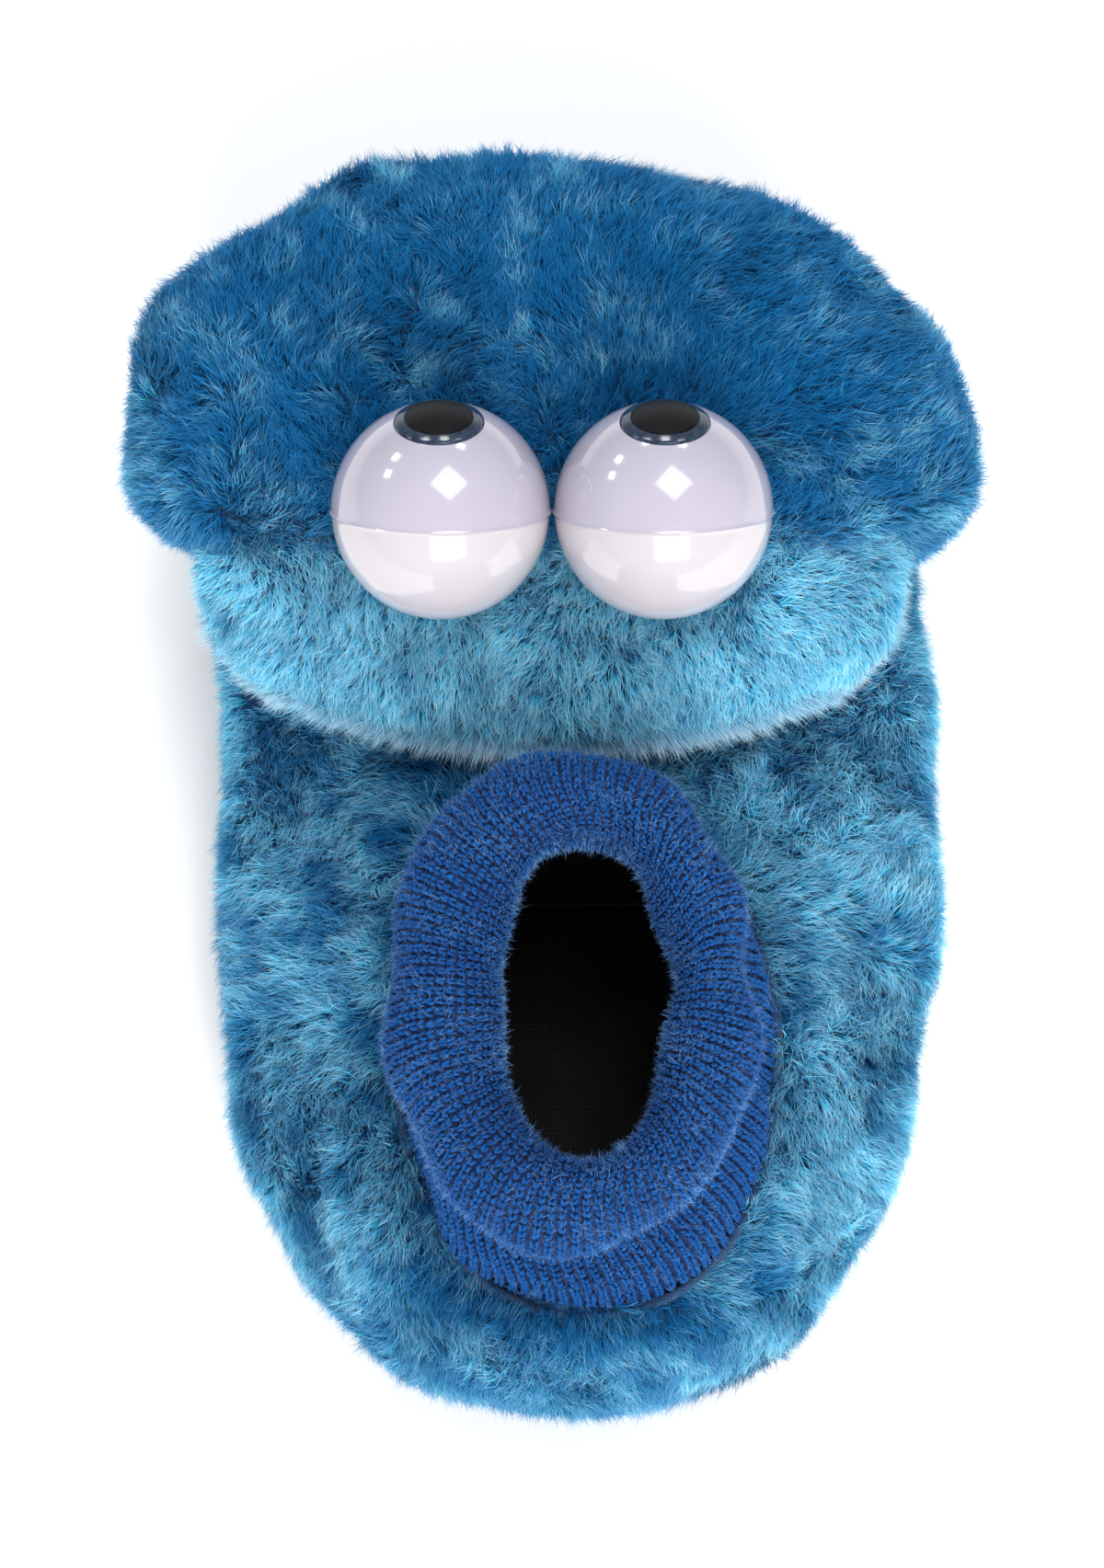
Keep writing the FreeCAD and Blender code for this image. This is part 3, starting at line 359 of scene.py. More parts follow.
# The fibre's blue is its own; the ramps also paint light: painted shade darkens each strand towards its
# root, and the light ramp's near-white tips are painted highlight.
plush_fibre = strand_material(
    "plush_fibre",
    [(0.0, (0.001, 0.034, 0.120)), (0.5, (0.001, 0.092, 0.275)), (1.0, (0.001, 0.185, 0.480))],
    [(0.0, (0.006, 0.260, 0.520)), (0.5, (0.110, 0.660, 0.940)), (1.0, (0.620, 0.930, 0.990))],
    Roughness=0.8,
    Specular_IOR_Level=0.05,
)
# The fibre's blue is its own; the pale, near-white tips are painted highlight along the hem's cut edge.
hem_fibre = strand_material(
    "hem_fibre",
    [(0.0, (0.004, 0.080, 0.190)), (0.5, (0.060, 0.330, 0.560)), (1.0, (0.380, 0.700, 0.860))],
    [(0.0, (0.020, 0.160, 0.300)), (0.5, (0.260, 0.600, 0.800)), (1.0, (0.820, 0.930, 0.970))],
    Roughness=0.65,
    Specular_IOR_Level=0.2,
    Sheen_Weight=0.15,
)
knit_fuzz = strand_material(
    "knit_fuzz",
    [(0.0, (0.006, 0.030, 0.160)), (1.0, (0.020, 0.100, 0.400))],
    [(0.0, (0.030, 0.120, 0.420)), (1.0, (0.260, 0.560, 0.920))],
    Roughness=0.7,
    Specular_IOR_Level=0.2,
    Sheen_Weight=0.15,
)
plush_backing = woven("plush_backing", (0.001, 0.030, 0.090), (0.003, 0.070, 0.180), 0.9, 0.0)
knit_yarn = mottled(
    "knit_yarn",
    [(0.25, (0.003, 0.040, 0.180)), (0.55, (0.006, 0.080, 0.300)), (0.8, (0.016, 0.150, 0.460))],
    900.0,
    bump=(4200.0, 0.7, 0.0003),
    Roughness=0.85,
    Specular_IOR_Level=0.1,
    Sheen_Weight=0.12,
    Sheen_Roughness=0.35,
    Sheen_Tint=(0.30, 0.65, 1.0, 1.0),
)
knit_backing = woven("knit_backing", (0.001, 0.010, 0.055), (0.002, 0.024, 0.120), 0.8, 0.0)
lining_knit = woven("lining_knit", (0.0015, 0.0015, 0.002), (0.010, 0.010, 0.012), 0.7, 0.1)
teal_tape = woven("teal_tape_weave", (0.002, 0.010, 0.016), (0.008, 0.035, 0.050), 0.6)
insole_cloth = woven("insole_cloth", (0.0015, 0.0015, 0.002), (0.014, 0.012, 0.013), 0.9, 0.1)
binding_cloth = woven("binding_cloth", (0.004, 0.025, 0.080), (0.012, 0.060, 0.150), 0.6)
neck_cloth = woven("neck_cloth", (0.001, 0.014, 0.045), (0.004, 0.045, 0.120), 0.8, 0.0)


def two_tone(name, dark, light, scale, bump, **values):
    """Mottled between two colours."""
    return mottled(name, [(0.3, dark), (0.7, light)], scale, bump, **values)


FELT_BUMP = (3000.0, 0.5, 0.0002)
red_felt = two_tone(
    "red_felt", (0.130, 0.006, 0.010), (0.300, 0.020, 0.028), 1200.0, FELT_BUMP,
    Roughness=0.95, Sheen_Weight=0.12,
)
pink_felt = two_tone(
    "pink_felt", (0.520, 0.120, 0.150), (0.720, 0.230, 0.260), 1200.0, FELT_BUMP,
    Roughness=0.95, Sheen_Weight=0.4,
)


def ball_plastic(name, dark, light):
    """The glossy moulded plastic of the ball eyes."""
    return mottled(
        name, [(0.2, dark), (0.8, light)], 25.0, (1500.0, 0.03, 0.00005),
        Roughness=0.13, Coat_Weight=0.6, Coat_Roughness=0.04, IOR=1.5,
    )


# The lilac tint is the plastic's own; the front shell is made darker than the back as painted shade, where
# it turns away from the heel light.
eye_front = ball_plastic("eye_front_plastic", (0.400, 0.375, 0.450), (0.440, 0.410, 0.490))
eye_back = ball_plastic("eye_back_plastic", (0.500, 0.465, 0.500), (0.550, 0.515, 0.545))
pupil_gloss = mottled(
    "pupil_gloss", [(0.2, (0.002, 0.002, 0.003)), (0.8, (0.004, 0.004, 0.005))], 60.0,
    Roughness=0.40, IOR=1.2,
)
iris_slate = mottled(
    "iris_slate",
    [(0.3, (0.006, 0.012, 0.028)), (0.5, (0.014, 0.028, 0.055)), (0.7, (0.026, 0.050, 0.090))],
    900.0,
    Roughness=0.12,
    IOR=1.45,
)
dark_plastic = two_tone(
    "dark_moulded_plastic", (0.030, 0.031, 0.034), (0.050, 0.051, 0.056), 60.0,
    (2200.0, 0.15, 0.0001), Roughness=0.45,
)
steel = two_tone(
    "drawn_steel", (0.420, 0.420, 0.430), (0.600, 0.600, 0.610), 400.0,
    (2500.0, 0.08, 0.00005), Roughness=0.3, Metallic=1.0,
)
soft_rubber = two_tone(
    "soft_rubber", (0.016, 0.016, 0.017), (0.030, 0.030, 0.031), 200.0,
    (1800.0, 0.2, 0.0001), Roughness=0.7,
)
sole_rubber = two_tone(
    "sole_rubber", (0.018, 0.024, 0.036), (0.034, 0.042, 0.058), 120.0,
    (1200.0, 0.3, 0.0002), Roughness=0.75,
)
sole_foam = two_tone(
    "sole_foam", (0.560, 0.560, 0.530), (0.680, 0.680, 0.650), 500.0,
    (1500.0, 0.5, 0.0003), Roughness=0.9,
)
fibreboard = two_tone(
    "fibreboard", (0.280, 0.190, 0.110), (0.420, 0.300, 0.180), 800.0,
    (2000.0, 0.4, 0.0002), Roughness=0.9,
)

CAD_MATERIALS = {
    dark_plastic: [
        "pump_base", "heel_treadle", "pump_outlet_barb", "hose_elbow", "lower_jaw_frame",
        "upper_jaw_frame", "eye_bridge",
    ],
    steel: [
        "jaw_frame_screws", "bridge_screws", "treadle_hinge_pin", "jaw_hinge_pin",
        "jaw_pin_caps", "return_spring_left", "return_spring_right", "eye_lock_washers",
    ],
    soft_rubber: ["air_hose"],
    sole_rubber: ["outsole", "sole_grip_dots"],
    sole_foam: ["midsole_foam"],
    fibreboard: ["insole_board"],
    eye_back: ["eye_post_left", "eye_post_right"],
}
for material, names in CAD_MATERIALS.items():
    for name in names:
        holder = NODES[name]
        if not holder.material_slots:
            holder.data.materials.append(material)
        for place in holder.material_slots:
            place.material = material

# ------------------------------------------------------------------ plush strands

MAX_STRANDS = 60000
QUICK_SHARE = 1.0
patch_noise = Noise(12, 20.0)
speckle_noise = Noise(13, 8.0)
swirl_noise = [Noise(20 + k, 44.0) for k in range(3)]
tuft_noise = [Noise(30 + k, 14.0) for k in range(3)]


def vector_noise(fields, points):
    return np.stack([field(points) for field in fields], axis=-1)


def ruffled(flow, points, swirl, tuft):
    """A flow stirred by the wide noise and by the fine one."""
    stirred = flow + swirl * vector_noise(swirl_noise, points)
    return stirred + tuft * vector_noise(tuft_noise, points)


def cell_corners(grid):
    """The four corners of each cell of a wrapped grid."""
    after = np.roll(grid, -1, axis=1)
    return grid[:-1], after[:-1], after[1:], grid[1:]


def scatter(points, normals, density, rng, weight):
    """Random places on a grid surface, density per square millimetre: positions and normals."""
    a, b, c, d = cell_corners(points)
    area = 0.5 * np.linalg.norm(np.cross(c - a, d - b), axis=-1)
    area = area * weight((a + b + c + d) / 4.0)
    total = np.cumsum(area.ravel())
    count = int(total[-1] * density * QUICK_SHARE)
    pick = np.searchsorted(total, rng.uniform(0.0, total[-1], count))
    row, column = np.unravel_index(pick, area.shape)
    u = rng.uniform(size=(count, 1))
    v = rng.uniform(size=(count, 1))
    shares = [(1 - u) * (1 - v), u * (1 - v), u * v, (1 - u) * v]
    places, out = [
        sum(share * corner[row, column] for share, corner in zip(shares, cell_corners(grid)))
        for grid in (points, normals)
    ]
    return places, unit(out)


def bent_strand(roots, normals, flow, lay, length):
    """Root, middle and tip of each strand, which leans over along the flow as it grows."""
    flow = unit(flow - (flow * normals).sum(-1, keepdims=True) * normals)
    points = [roots]
    for share in (0.6, 1.35):
        angle = np.clip(lay * share, 0.0, 1.6)[:, None]
        step = normals * np.cos(angle) + flow * np.sin(angle)
        points.append(points[-1] + step * (length / 2.0)[:, None])
    return points


def keep_out_of_eyes(points):
    """Points inside an eye, moved out to just off its surface."""
    nearest = EYE_RADIUS + 0.5
    for centre in EYE_CENTRES:
        away = points - centre
        distance = np.linalg.norm(away, axis=-1, keepdims=True)
        outside = centre + away / np.maximum(distance, 1e-6) * nearest
        points = np.where(distance < nearest, outside, points)
    return points


def grow(roots, normals, flow_at, rng, tone, length, lay, width, tuft, pull):
    """Strands gathered in tufts: root, middle and tip points, side vectors, widths and tones.

    lay is how far a strand leans over, in radians, tuft how many strands share one tuft, and
    pull how far their tips gather.
    """
    count = len(roots)
    seeds = rng.choice(count, max(count // tuft, 1), replace=False)
    tree = kdtree.KDTree(len(seeds))
    for index, seed in enumerate(seeds):
        tree.insert(roots[seed], index)
    tree.balance()
    owner = np.array([tree.find(place)[1] for place in roots])
    flow = unit(flow_at(roots[seeds], normals[seeds]))
    flow = flow + 0.30 * rng.normal(size=flow.shape)
    tuft_lay = lay * rng.uniform(0.65, 1.3, len(seeds))
    tuft_length = length * rng.uniform(0.85, 1.15, len(seeds))
    guides = bent_strand(roots[seeds], normals[seeds], flow, tuft_lay, tuft_length)
    levels = bent_strand(
        roots,
        normals,
        flow[owner] + 0.30 * rng.normal(size=(count, 3)),
        tuft_lay[owner] * rng.uniform(0.8, 1.2, count),
        tuft_length[owner] * rng.uniform(0.72, 1.12, count),
    )
    strength = (pull * rng.uniform(0.4, 1.0, count))[:, None]
    shaped = [levels[0] - 0.4 * normals]
    for level, share, loose in ((1, 0.45, 0.20), (2, 1.0, 0.45)):
        point = levels[level] + (guides[level][owner] - levels[level]) * strength * share
        point = point + rng.normal(size=(count, 3)) * loose
        point[:, 2] = np.maximum(point[:, 2], 0.5)
        shaped.append(keep_out_of_eyes(point))
    direction = unit(shaped[2] - shaped[0])
    side = unit(np.cross(direction, normals + 0.15 * rng.normal(size=(count, 3))))
    turn = rng.uniform(-0.6, 0.6, (count, 1))
    side = side * np.cos(turn) + np.cross(direction, side) * np.sin(turn)
    tones = tone + 0.15 * patch_noise(roots) + 0.09 * speckle_noise(roots)
    tones = tones + rng.normal(0.0, 0.11, len(seeds))[owner] + rng.normal(0.0, 0.13, count)
    return shaped, side, width * rng.uniform(0.7, 1.35, count), np.clip(tones, 0.02, 0.98)


def strand_mesh(name, shaped, side, widths, tones):
    """Tapered ribbons of two segments; a strand's UV is its tone and how far along it lies."""
    count = len(side)
    columns = []
    uvs = []
    for level, share in ((0, 0.8), (1, 1.0)):
        half = side * (0.5 * share * widths)[:, None]
        columns += [shaped[level] - half, shaped[level] + half]
        along = np.full(count, 0.5 * level)
        uvs += [np.stack([tones - 0.004, along], -1), np.stack([tones + 0.004, along], -1)]
    columns.append(shaped[2])
    uvs.append(np.stack([tones, np.ones(count)], -1))
    points = np.stack(columns, axis=1).reshape(-1, 3)
    uv = np.stack(uvs, axis=1).reshape(-1, 2)
    base = (np.arange(count) * 5)[:, None]
    return make_mesh(name, points, base + [0, 1, 3, 2], base + [2, 3, 4], np.clip(uv, 0.001, 0.999))


def add_fur(name, strands, material, body):
    """One or more pieces of strands, each under the mesh size that the library takes."""
    shaped, side, widths, tones = strands
    parts = max(1, math.ceil(len(side) / MAX_STRANDS))
    order = np.argsort(shaped[0][:, 0], kind="stable")
    for k, chosen in enumerate(np.array_split(order, parts)):
        label = name if parts == 1 else f"{name}_{k + 1}"
        picked = [level[chosen] for level in shaped]
        mesh = strand_mesh(label, picked, side[chosen], widths[chosen], tones[chosen])
        add_piece(label, mesh, material, body)


def joined(*groups):
    """Several sets of strands as one."""
    levels = [np.concatenate([group[0][k] for group in groups]) for k in range(3)]
    return (levels, *[np.concatenate([group[k] for group in groups]) for k in (1, 2, 3)])


def part_of(strands, chosen):
    shaped, side, widths, tones = strands
    return [level[chosen] for level in shaped], side[chosen], widths[chosen], tones[chosen]


UNDER_DENSITY = 1.2
UNDER_PILE = dict(length=3.8, lay=0.6, width=0.30, tuft=6, pull=0.3)
TOP_DENSITY = 4.8
TOP_PILE = dict(length=6.0, lay=0.95, width=0.12, tuft=7, pull=0.50)


def plush(skin, skin_normals, weight, flow, rng, tone_at):
    """A short dense under layer and the longer fibres over it; their tones carry painted shade and painted
    rim light.
    """
    roots, normals = scatter(skin, skin_normals, UNDER_DENSITY, rng, weight)
    # Painted shade: the under layer is made darker than the fibres over it.
    under = grow(roots, normals, flow, rng, tone_at(roots) - 0.08, **UNDER_PILE)
    roots, normals = scatter(skin, skin_normals, TOP_DENSITY, rng, weight)
    top = grow(roots, normals, flow, rng, tone_at(roots), **TOP_PILE)
    # Painted rim light: fibres on side-facing skin are made paler, as light grazing the silhouette.
    painted_rim_light = 1.0 - np.abs(normals[:, 2])
    levels, side, widths, tones = top
    return joined(under, (levels, side, widths, np.clip(tones + 0.22 * painted_rim_light, 0.02, 0.98)))


# ------------------------------------------------------------------ the skin of the foot

COLUMNS = 220
theta = turns(COLUMNS)[None, :]


def foot_drift(y):
    """How far the foot's outline lies to the right at y."""
    side_bulge = 2.6 * (smoothstep(-80.0, -20.0, y) - smoothstep(25.0, 65.0, y))
    toe_turn = 0.058 * np.maximum(y, 0.0) + 2.5 * smoothstep(65.0, 105.0, y)
    return FOOT_CENTRE + side_bulge - toe_turn


def foot_spread(y):
    """The jaw is wider than the foot behind it."""
    return 1.0 + 0.08 * smoothstep(20.0, 70.0, y)


def head_drift(y):
    """The brow leans a little to the left."""
    return 1.0 - 6.0 * smoothstep(42.0, 110.0, y)


lump_noise = Noise(5, 42.0)


def lip_top(y):
    """The foot's skin stays below the felt of the mouth."""
    mouth = smoothstep(34.0, 40.0, y)
    return (LIP_LOW - 1.8) * mouth + 200.0 * (1.0 - mouth)


def body_surface(rows, inset):
    """The foot's surface, moved in from the tips of its pile by inset."""
    table = BODY_STATIONS.copy()
    table[:, 0] -= BODY_DROPS * inset / BODY_PILE
    table[:, 2] -= inset
    table[:, 3] += inset
    table[:, 4] -= inset
    table[-1, 2:5] += np.array([-3.0, 3.0, -3.0]) * inset / BODY_PILE
    waists = np.minimum(BODY_WAIST, table[:, 4] - 30.0)
    table = np.column_stack([table, np.ones(len(table)), waists])
    collar = (table[-1, 0] - 0.4, 0.10, 36.0, -110.0, -9.0, CUFF_LEAN, CUFF_FULL, 0.0, CUFF_WAIST)
    table = np.vstack([table, collar])
    t = between_rows(table, rows)
    height, tilt, half, back, front, lean, toe, drift, waist = [t[:, [k]] for k in range(9)]
    x, y = egg(theta, half, back, front, waist, BODY_FULL, toe)
    x = x * foot_spread(y) + FOOT_CENTRE + drift * (foot_drift(y) - FOOT_CENTRE) + lean
    z = height - tilt * (y - TILT_CENTRE)
    z = np.minimum(z, lip_top(y))
    return np.stack([x, y, z + 0.0 * x], axis=-1)


body_skin = body_surface(90, SKIN_INSET)
body_normals = grid_normals(body_skin)
lumps = lump_noise(body_skin)[..., None] * 0.8
body_skin = body_skin + body_normals * lumps
body_skin[..., 2] = np.minimum(body_skin[..., 2], lip_top(body_skin[..., 1]))
body_normals = grid_normals(body_skin)


def skin_mesh(name, points, cap_low=False, cap_high=False):
    """A mesh over a grid of points that wraps round, with its ends left open or closed."""
    rows, columns = points.shape[:2]
    u = np.broadcast_to(np.linspace(0.01, 0.99, columns)[None, :], (rows, columns))
    v = np.broadcast_to(np.linspace(0.01, 0.99, rows)[:, None], (rows, columns))
    uv = np.stack([u, v], -1).reshape(-1, 2)
    flat = points.reshape(-1, 3)
    quads = grid_faces(rows, columns)
    tris = []
    extra = []
    for wanted, row, outward in ((cap_low, 0, False), (cap_high, rows - 1, True)):
        if not wanted:
            continue
        centre = points[row].mean(axis=0)
        index = len(flat) + len(extra)
        extra.append(centre)
        ring = row * columns + np.arange(columns)
        after = row * columns + (np.arange(columns) + 1) % columns
        fan = [ring, after] if outward else [after, ring]
        tris.append(np.stack([*fan, np.full(columns, index)], -1))
        uv = np.concatenate([uv, [[0.5, 0.999 if outward else 0.001]]])
    if extra:
        flat = np.concatenate([flat, np.array(extra)])
    tris = np.concatenate(tris) if tris else np.zeros((0, 3), int)
    return make_mesh(name, flat, quads, tris, uv)


def add_skin(name, points, material, body, stands_for, capped=False):
    """A piece whose surface is a grid of points, closed at both ends or open."""
    mesh = skin_mesh(name, points, capped, capped)
    return add_piece(name, mesh, material, body, stands_for)


FOOT_NODES = (
    "quarter_fur_left", "quarter_fur_right", "vamp_fur", "lower_jaw_fur", "quarter_padding",
    "vamp_padding", "lower_jaw_padding",
)
add_skin("foot_skin", body_skin, plush_backing, "slipper", FOOT_NODES)


def in_cuff(points, grow_by=0.0):
    """True inside the egg-shaped seam where the cuff meets the plush."""
    x = (points[..., 0] - FOOT_CENTRE - CUFF_LEAN) / (36.3 + grow_by)
    y = points[..., 1] - CUFF_WAIST
    reach = np.where(y > 0, 50.3 + grow_by, 51.3 + grow_by)
    return np.abs(x) ** CUFF_FULL + np.abs(y / reach) ** CUFF_FULL < 1.0


def body_weight(points):
    """Where the foot's plush grows, thinner where the head hides it."""
    x, y, z = points[..., 0], points[..., 1], points[..., 2]
    open_top = np.where(in_cuff(points, -0.5) & (z > 40.0), 0.0, 1.0)
    under_head = (y > 14.0) & (z > 36.5) & (np.abs(x) < 62.0)
    mouth = (y > 36.0) & (z > LIP_LOW - 2.5)
    weight = np.where(under_head | mouth, 0.0, open_top)
    return weight * np.where(z < 5.5, 0.5, 1.0)


def body_flow(points, normals):
    x, y = points[..., 0], points[..., 1]
    outward = np.stack([x - FOOT_CENTRE, 0.5 * (y + 40.0), np.zeros_like(x)], -1)
    flow = 0.55 * unit(outward) + np.array([0.0, -0.45, -0.55])
    return ruffled(flow, points, 0.50, 0.24)


def body_tone_with_painted_light(points):
    """Painted light and shade: paler along the right side as painted light, darker towards the heel as
    painted shade.
    """
    x, y = points[..., 0], points[..., 1]
    heel = smoothstep(84.0, 118.0, -y)
    return 0.37 + 0.18 * smoothstep(10.0, 60.0, x) - 0.28 * heel


rng = np.random.default_rng(2024)
foot_strands = plush(body_skin, body_normals, body_weight, body_flow, rng, body_tone_with_painted_light)
VAMP_START = -8.0
root_x, root_y = foot_strands[0][0][:, 0], foot_strands[0][0][:, 1]
regions = {
    "plush_quarter_left": (root_y < VAMP_START) & (root_x < FOOT_CENTRE),
    "plush_quarter_right": (root_y < VAMP_START) & (root_x >= FOOT_CENTRE),
    "plush_vamp": (root_y >= VAMP_START) & (root_y < JAW_START),
    "plush_lower_jaw": root_y >= JAW_START,
}
for name, chosen in regions.items():
    add_fur(name, part_of(foot_strands, chosen), plush_fibre, "slipper")

# ------------------------------------------------------------------ the head


def head_surface(stations, drops, inset, rows, waist, full, toe_full, underside):
    """One lobe of the head, closed over the top, with a flat sewn underside."""
    table = stations.copy()
    table[:, 0] -= drops * inset / HEAD_PILE
    table[:, 1] -= inset
    table[:, 2] += inset
    table[:, 3] -= inset
    low = table[0]
    high = table[-1]
    middle_y = (high[2] + high[3]) / 2.0
    bottom = [
        (low[0], low[1] * s, waist + (low[2] - waist) * s, waist + (low[3] - waist) * s)
        for s in (0.05, 0.5, 0.9)
    ]
    reach = (high[3] - high[2]) / 2.0
    top = [
        (high[0] + rise, high[1] * s, middle_y - reach * s, middle_y + reach * s)
        for rise, s in ((1.6, 0.62), (2.4, 0.3), (2.7, 0.02))
    ]
    t = between_rows(np.concatenate([bottom, table, top]), rows)
    height, half, back, front = [t[:, [k]] for k in range(4)]
    middle = np.clip(waist, back + 1.0, front - 1.0)
    x, y = egg(theta, half, back, front, middle, full, toe_full)
    if waist == FRONT_WAIST:
        x = x + head_drift(y)
    z = np.maximum(height, underside(x, y))
    return np.stack([x, y, z], axis=-1)


def under_front(x, y):
    return LIP_HIGH + 1.0 + 0.0 * x


def under_back(x, y):
    instep = np.interp(y, [-20.0, 22.0, 36.0, 40.0], [64.5, 60.0, 54.0, LIP_HIGH])
    cheeks = np.interp(y, [-20.0, 10.0, 22.0, 37.0, 40.0], [63.5, 56.5, 53.0, 51.0, LIP_HIGH])
    return np.where(np.abs(x) < 51.0, instep, cheeks) + 1.5


front_skin = head_surface(
    FRONT_STATIONS, FRONT_DROPS, SKIN_INSET, 70, FRONT_WAIST, *FRONT_FULL, under_front
)
back_skin = head_surface(
    BACK_STATIONS, BACK_DROPS, SKIN_INSET, 60, BACK_WAIST, BACK_FULL, BACK_FULL, under_back
)
head_lumps = Noise(6, 38.0)


def lumpy(points, amount, keep_flat):
    normals = grid_normals(points)
    shift = head_lumps(points) * amount * keep_flat(points)
    return points + normals * shift[..., None]


def front_free(points):
    return smoothstep(LIP_HIGH + 1.5, LIP_HIGH + 10.0, points[..., 2])


def back_free(points):
    floor = under_back(points[..., 0], points[..., 1])
    return smoothstep(0.5, 8.0, points[..., 2] - floor)


front_skin = lumpy(front_skin, 0.9, front_free)
back_skin = lumpy(back_skin, 0.8, back_free)
front_normals = grid_normals(front_skin)
back_normals = grid_normals(back_skin)


def inside_lobe(points, stations, drops, waist, full):
    """True where points lie deeper in a lobe than its pile."""
    z = points[..., 2]
    levels = stations[:, 0] - drops
    half = np.interp(z, levels, stations[:, 1]) - HEAD_PILE
    back = np.interp(z, levels, stations[:, 2]) + HEAD_PILE
    front = np.interp(z, levels, stations[:, 3]) - HEAD_PILE
    y = points[..., 1] - waist
    reach = np.where(y > 0, front - waist, waist - back)
    x = points[..., 0] / np.maximum(half, 1.0)
    within = np.abs(x) ** full + np.abs(y / np.maximum(reach, 1.0)) ** full < 1.0
    return within & (z < levels[-1] + 1.0) & (z > levels[0])


for name, skin, nodes in (
    ("head_skin_front", front_skin, ("head_fur_front", "head_stuffing")),
    ("head_skin_back", back_skin, ("head_fur_back",)),
):
    add_skin(name, skin, plush_backing, "head", nodes)


def near_eye(points):
    distances = [np.linalg.norm(points - centre, axis=-1) for centre in EYE_CENTRES]
    return np.minimum(*distances) < EYE_RADIUS - 1.0


def front_weight(points):
    hidden = inside_lobe(points, BACK_STATIONS, BACK_DROPS, BACK_WAIST, BACK_FULL)
    flat = points[..., 2] < LIP_HIGH + 1.6
    return np.where(hidden | flat | near_eye(points), 0.0, 1.0)


def back_weight(points):
    hidden = inside_lobe(points, FRONT_STATIONS, FRONT_DROPS, FRONT_WAIST, FRONT_FULL[0])
    flat = points[..., 2] < under_back(points[..., 0], points[..., 1]) + 0.6
    return np.where(hidden | flat | near_eye(points), 0.0, 1.0)


def front_flow(points, normals):
    x, y = points[..., 0], points[..., 1]
    outward = unit(np.stack([x, 0.9 * (y - 58.0), np.zeros_like(x)], -1))
    top = smoothstep(0.2, 0.8, normals[..., 2])[..., None]
    flow = outward * (1.0 - 0.5 * top) + np.array([0.0, 0.0, -0.7]) * (1.0 - top)
    flow = flow + top * np.array([0.45, 0.55, 0.0])
    return ruffled(flow, points, 0.45, 0.24)


def back_flow(points, normals):
    x = points[..., 0]
    flow = np.stack([0.35 * x / 60.0, np.full_like(x, -1.0), np.full_like(x, -0.55)], -1)
    return ruffled(flow, points, 0.35, 0.25)


def front_tone_with_painted_shade(points):
    """Painted light and shade: darkest in the middle of the brow as painted shade, paler towards the sides
    as painted light.
    """
    return -0.12 + 0.18 * smoothstep(35.0, 85.0, np.abs(points[..., 0]))


# Painted light: the rear lobe's fibres are made much paler than the rest, as where the heel-side light
# falls.
def back_tone_with_painted_light(points):
    return 0.80 + 0.0 * points[..., 0]


lobes = [
    ("plush_head_front", front_skin, front_normals, front_weight, front_flow, front_tone_with_painted_shade),
    ("plush_head_back", back_skin, back_normals, back_weight, back_flow, back_tone_with_painted_light),
]
for name, skin, skin_normals, weight, flow, tone_at in lobes:
    add_fur(name, plush(skin, skin_normals, weight, flow, rng, tone_at), plush_fibre, "head")


def hem_line(skin, floor_at):
    """The lowest free point of every column of a lobe, which is the edge that was cut and sewn."""
    floor = floor_at(skin[..., 0], skin[..., 1])
    lowest = np.argmax(skin[..., 2] > floor + 1.2, axis=0)
    return skin[lowest, np.arange(skin.shape[1])]


HEM_STRANDS = 9000
HEM_PILE = dict(length=8.2, lay=0.22, width=0.15, tuft=14, pull=0.45)
hem = hem_line(back_skin, under_back)
hem = hem[hem[:, 1] < 42.0]
order = np.argsort(np.arctan2(hem[:, 0], BACK_WAIST + 40.0 - hem[:, 1]))
hem = hem[order]
path = np.concatenate([[0.0], np.cumsum(np.linalg.norm(np.diff(hem, axis=0), axis=1))])
at = rng.uniform(0.0, path[-1], int(HEM_STRANDS * QUICK_SHARE))
roots = np.stack([np.interp(at, path, hem[:, k]) for k in range(3)], -1)
outward = unit((roots - np.array([0.0, 40.0, 0.0])) * np.array([1.0, 1.0, 0.0]))
roots = roots + rng.normal(size=roots.shape) * np.array([0.4, 0.4, 0.9]) - outward * 1.0


def hem_flow(points, normals):
    return normals + np.array([0.0, 0.0, -1.0])


fringe = grow(roots, outward, hem_flow, rng, 0.55, **HEM_PILE)
add_fur("plush_hem_fringe", fringe, hem_fibre, "head")

# ------------------------------------------------------------------ eyes


def aim(tilt):
    """Axes whose third points forward and up by the given angle."""
    forward = np.array([0.0, math.cos(tilt), math.sin(tilt)])
    right = np.array([1.0, 0.0, 0.0])
    return np.stack([right, np.cross(forward, right), forward])


def cap(radius_at, start, stop, rings, columns):
    """Rings of a surface round the third axis, from polar angle start to stop."""
    phi = np.linspace(start, stop, rings)[:, None]
    turn = turns(columns)[None, :]
    radius = radius_at(phi)
    x = radius * np.sin(phi) * np.cos(turn)
    y = radius * np.sin(phi) * np.sin(turn)
    z = radius * np.cos(phi) + 0.0 * turn
    return np.stack([x, y, z], -1)


def ridge(phi):
    """A ball with a fine raised parting line round its equator."""
    across = (phi - math.pi / 2.0) * EYE_RADIUS
    rear = smoothstep(0.1, 0.5, across)
    return EYE_RADIUS + 0.30 * np.exp(-((across / 0.32) ** 2)) - 0.12 * rear


def lens(base, rise, edge_angle):
    def radius_at(phi):
        rounded = np.clip((edge_angle - phi) * base / 0.7, 0.0, 1.0)
        return base + rise * np.sqrt(1.0 - (1.0 - rounded) ** 2)

    return radius_at


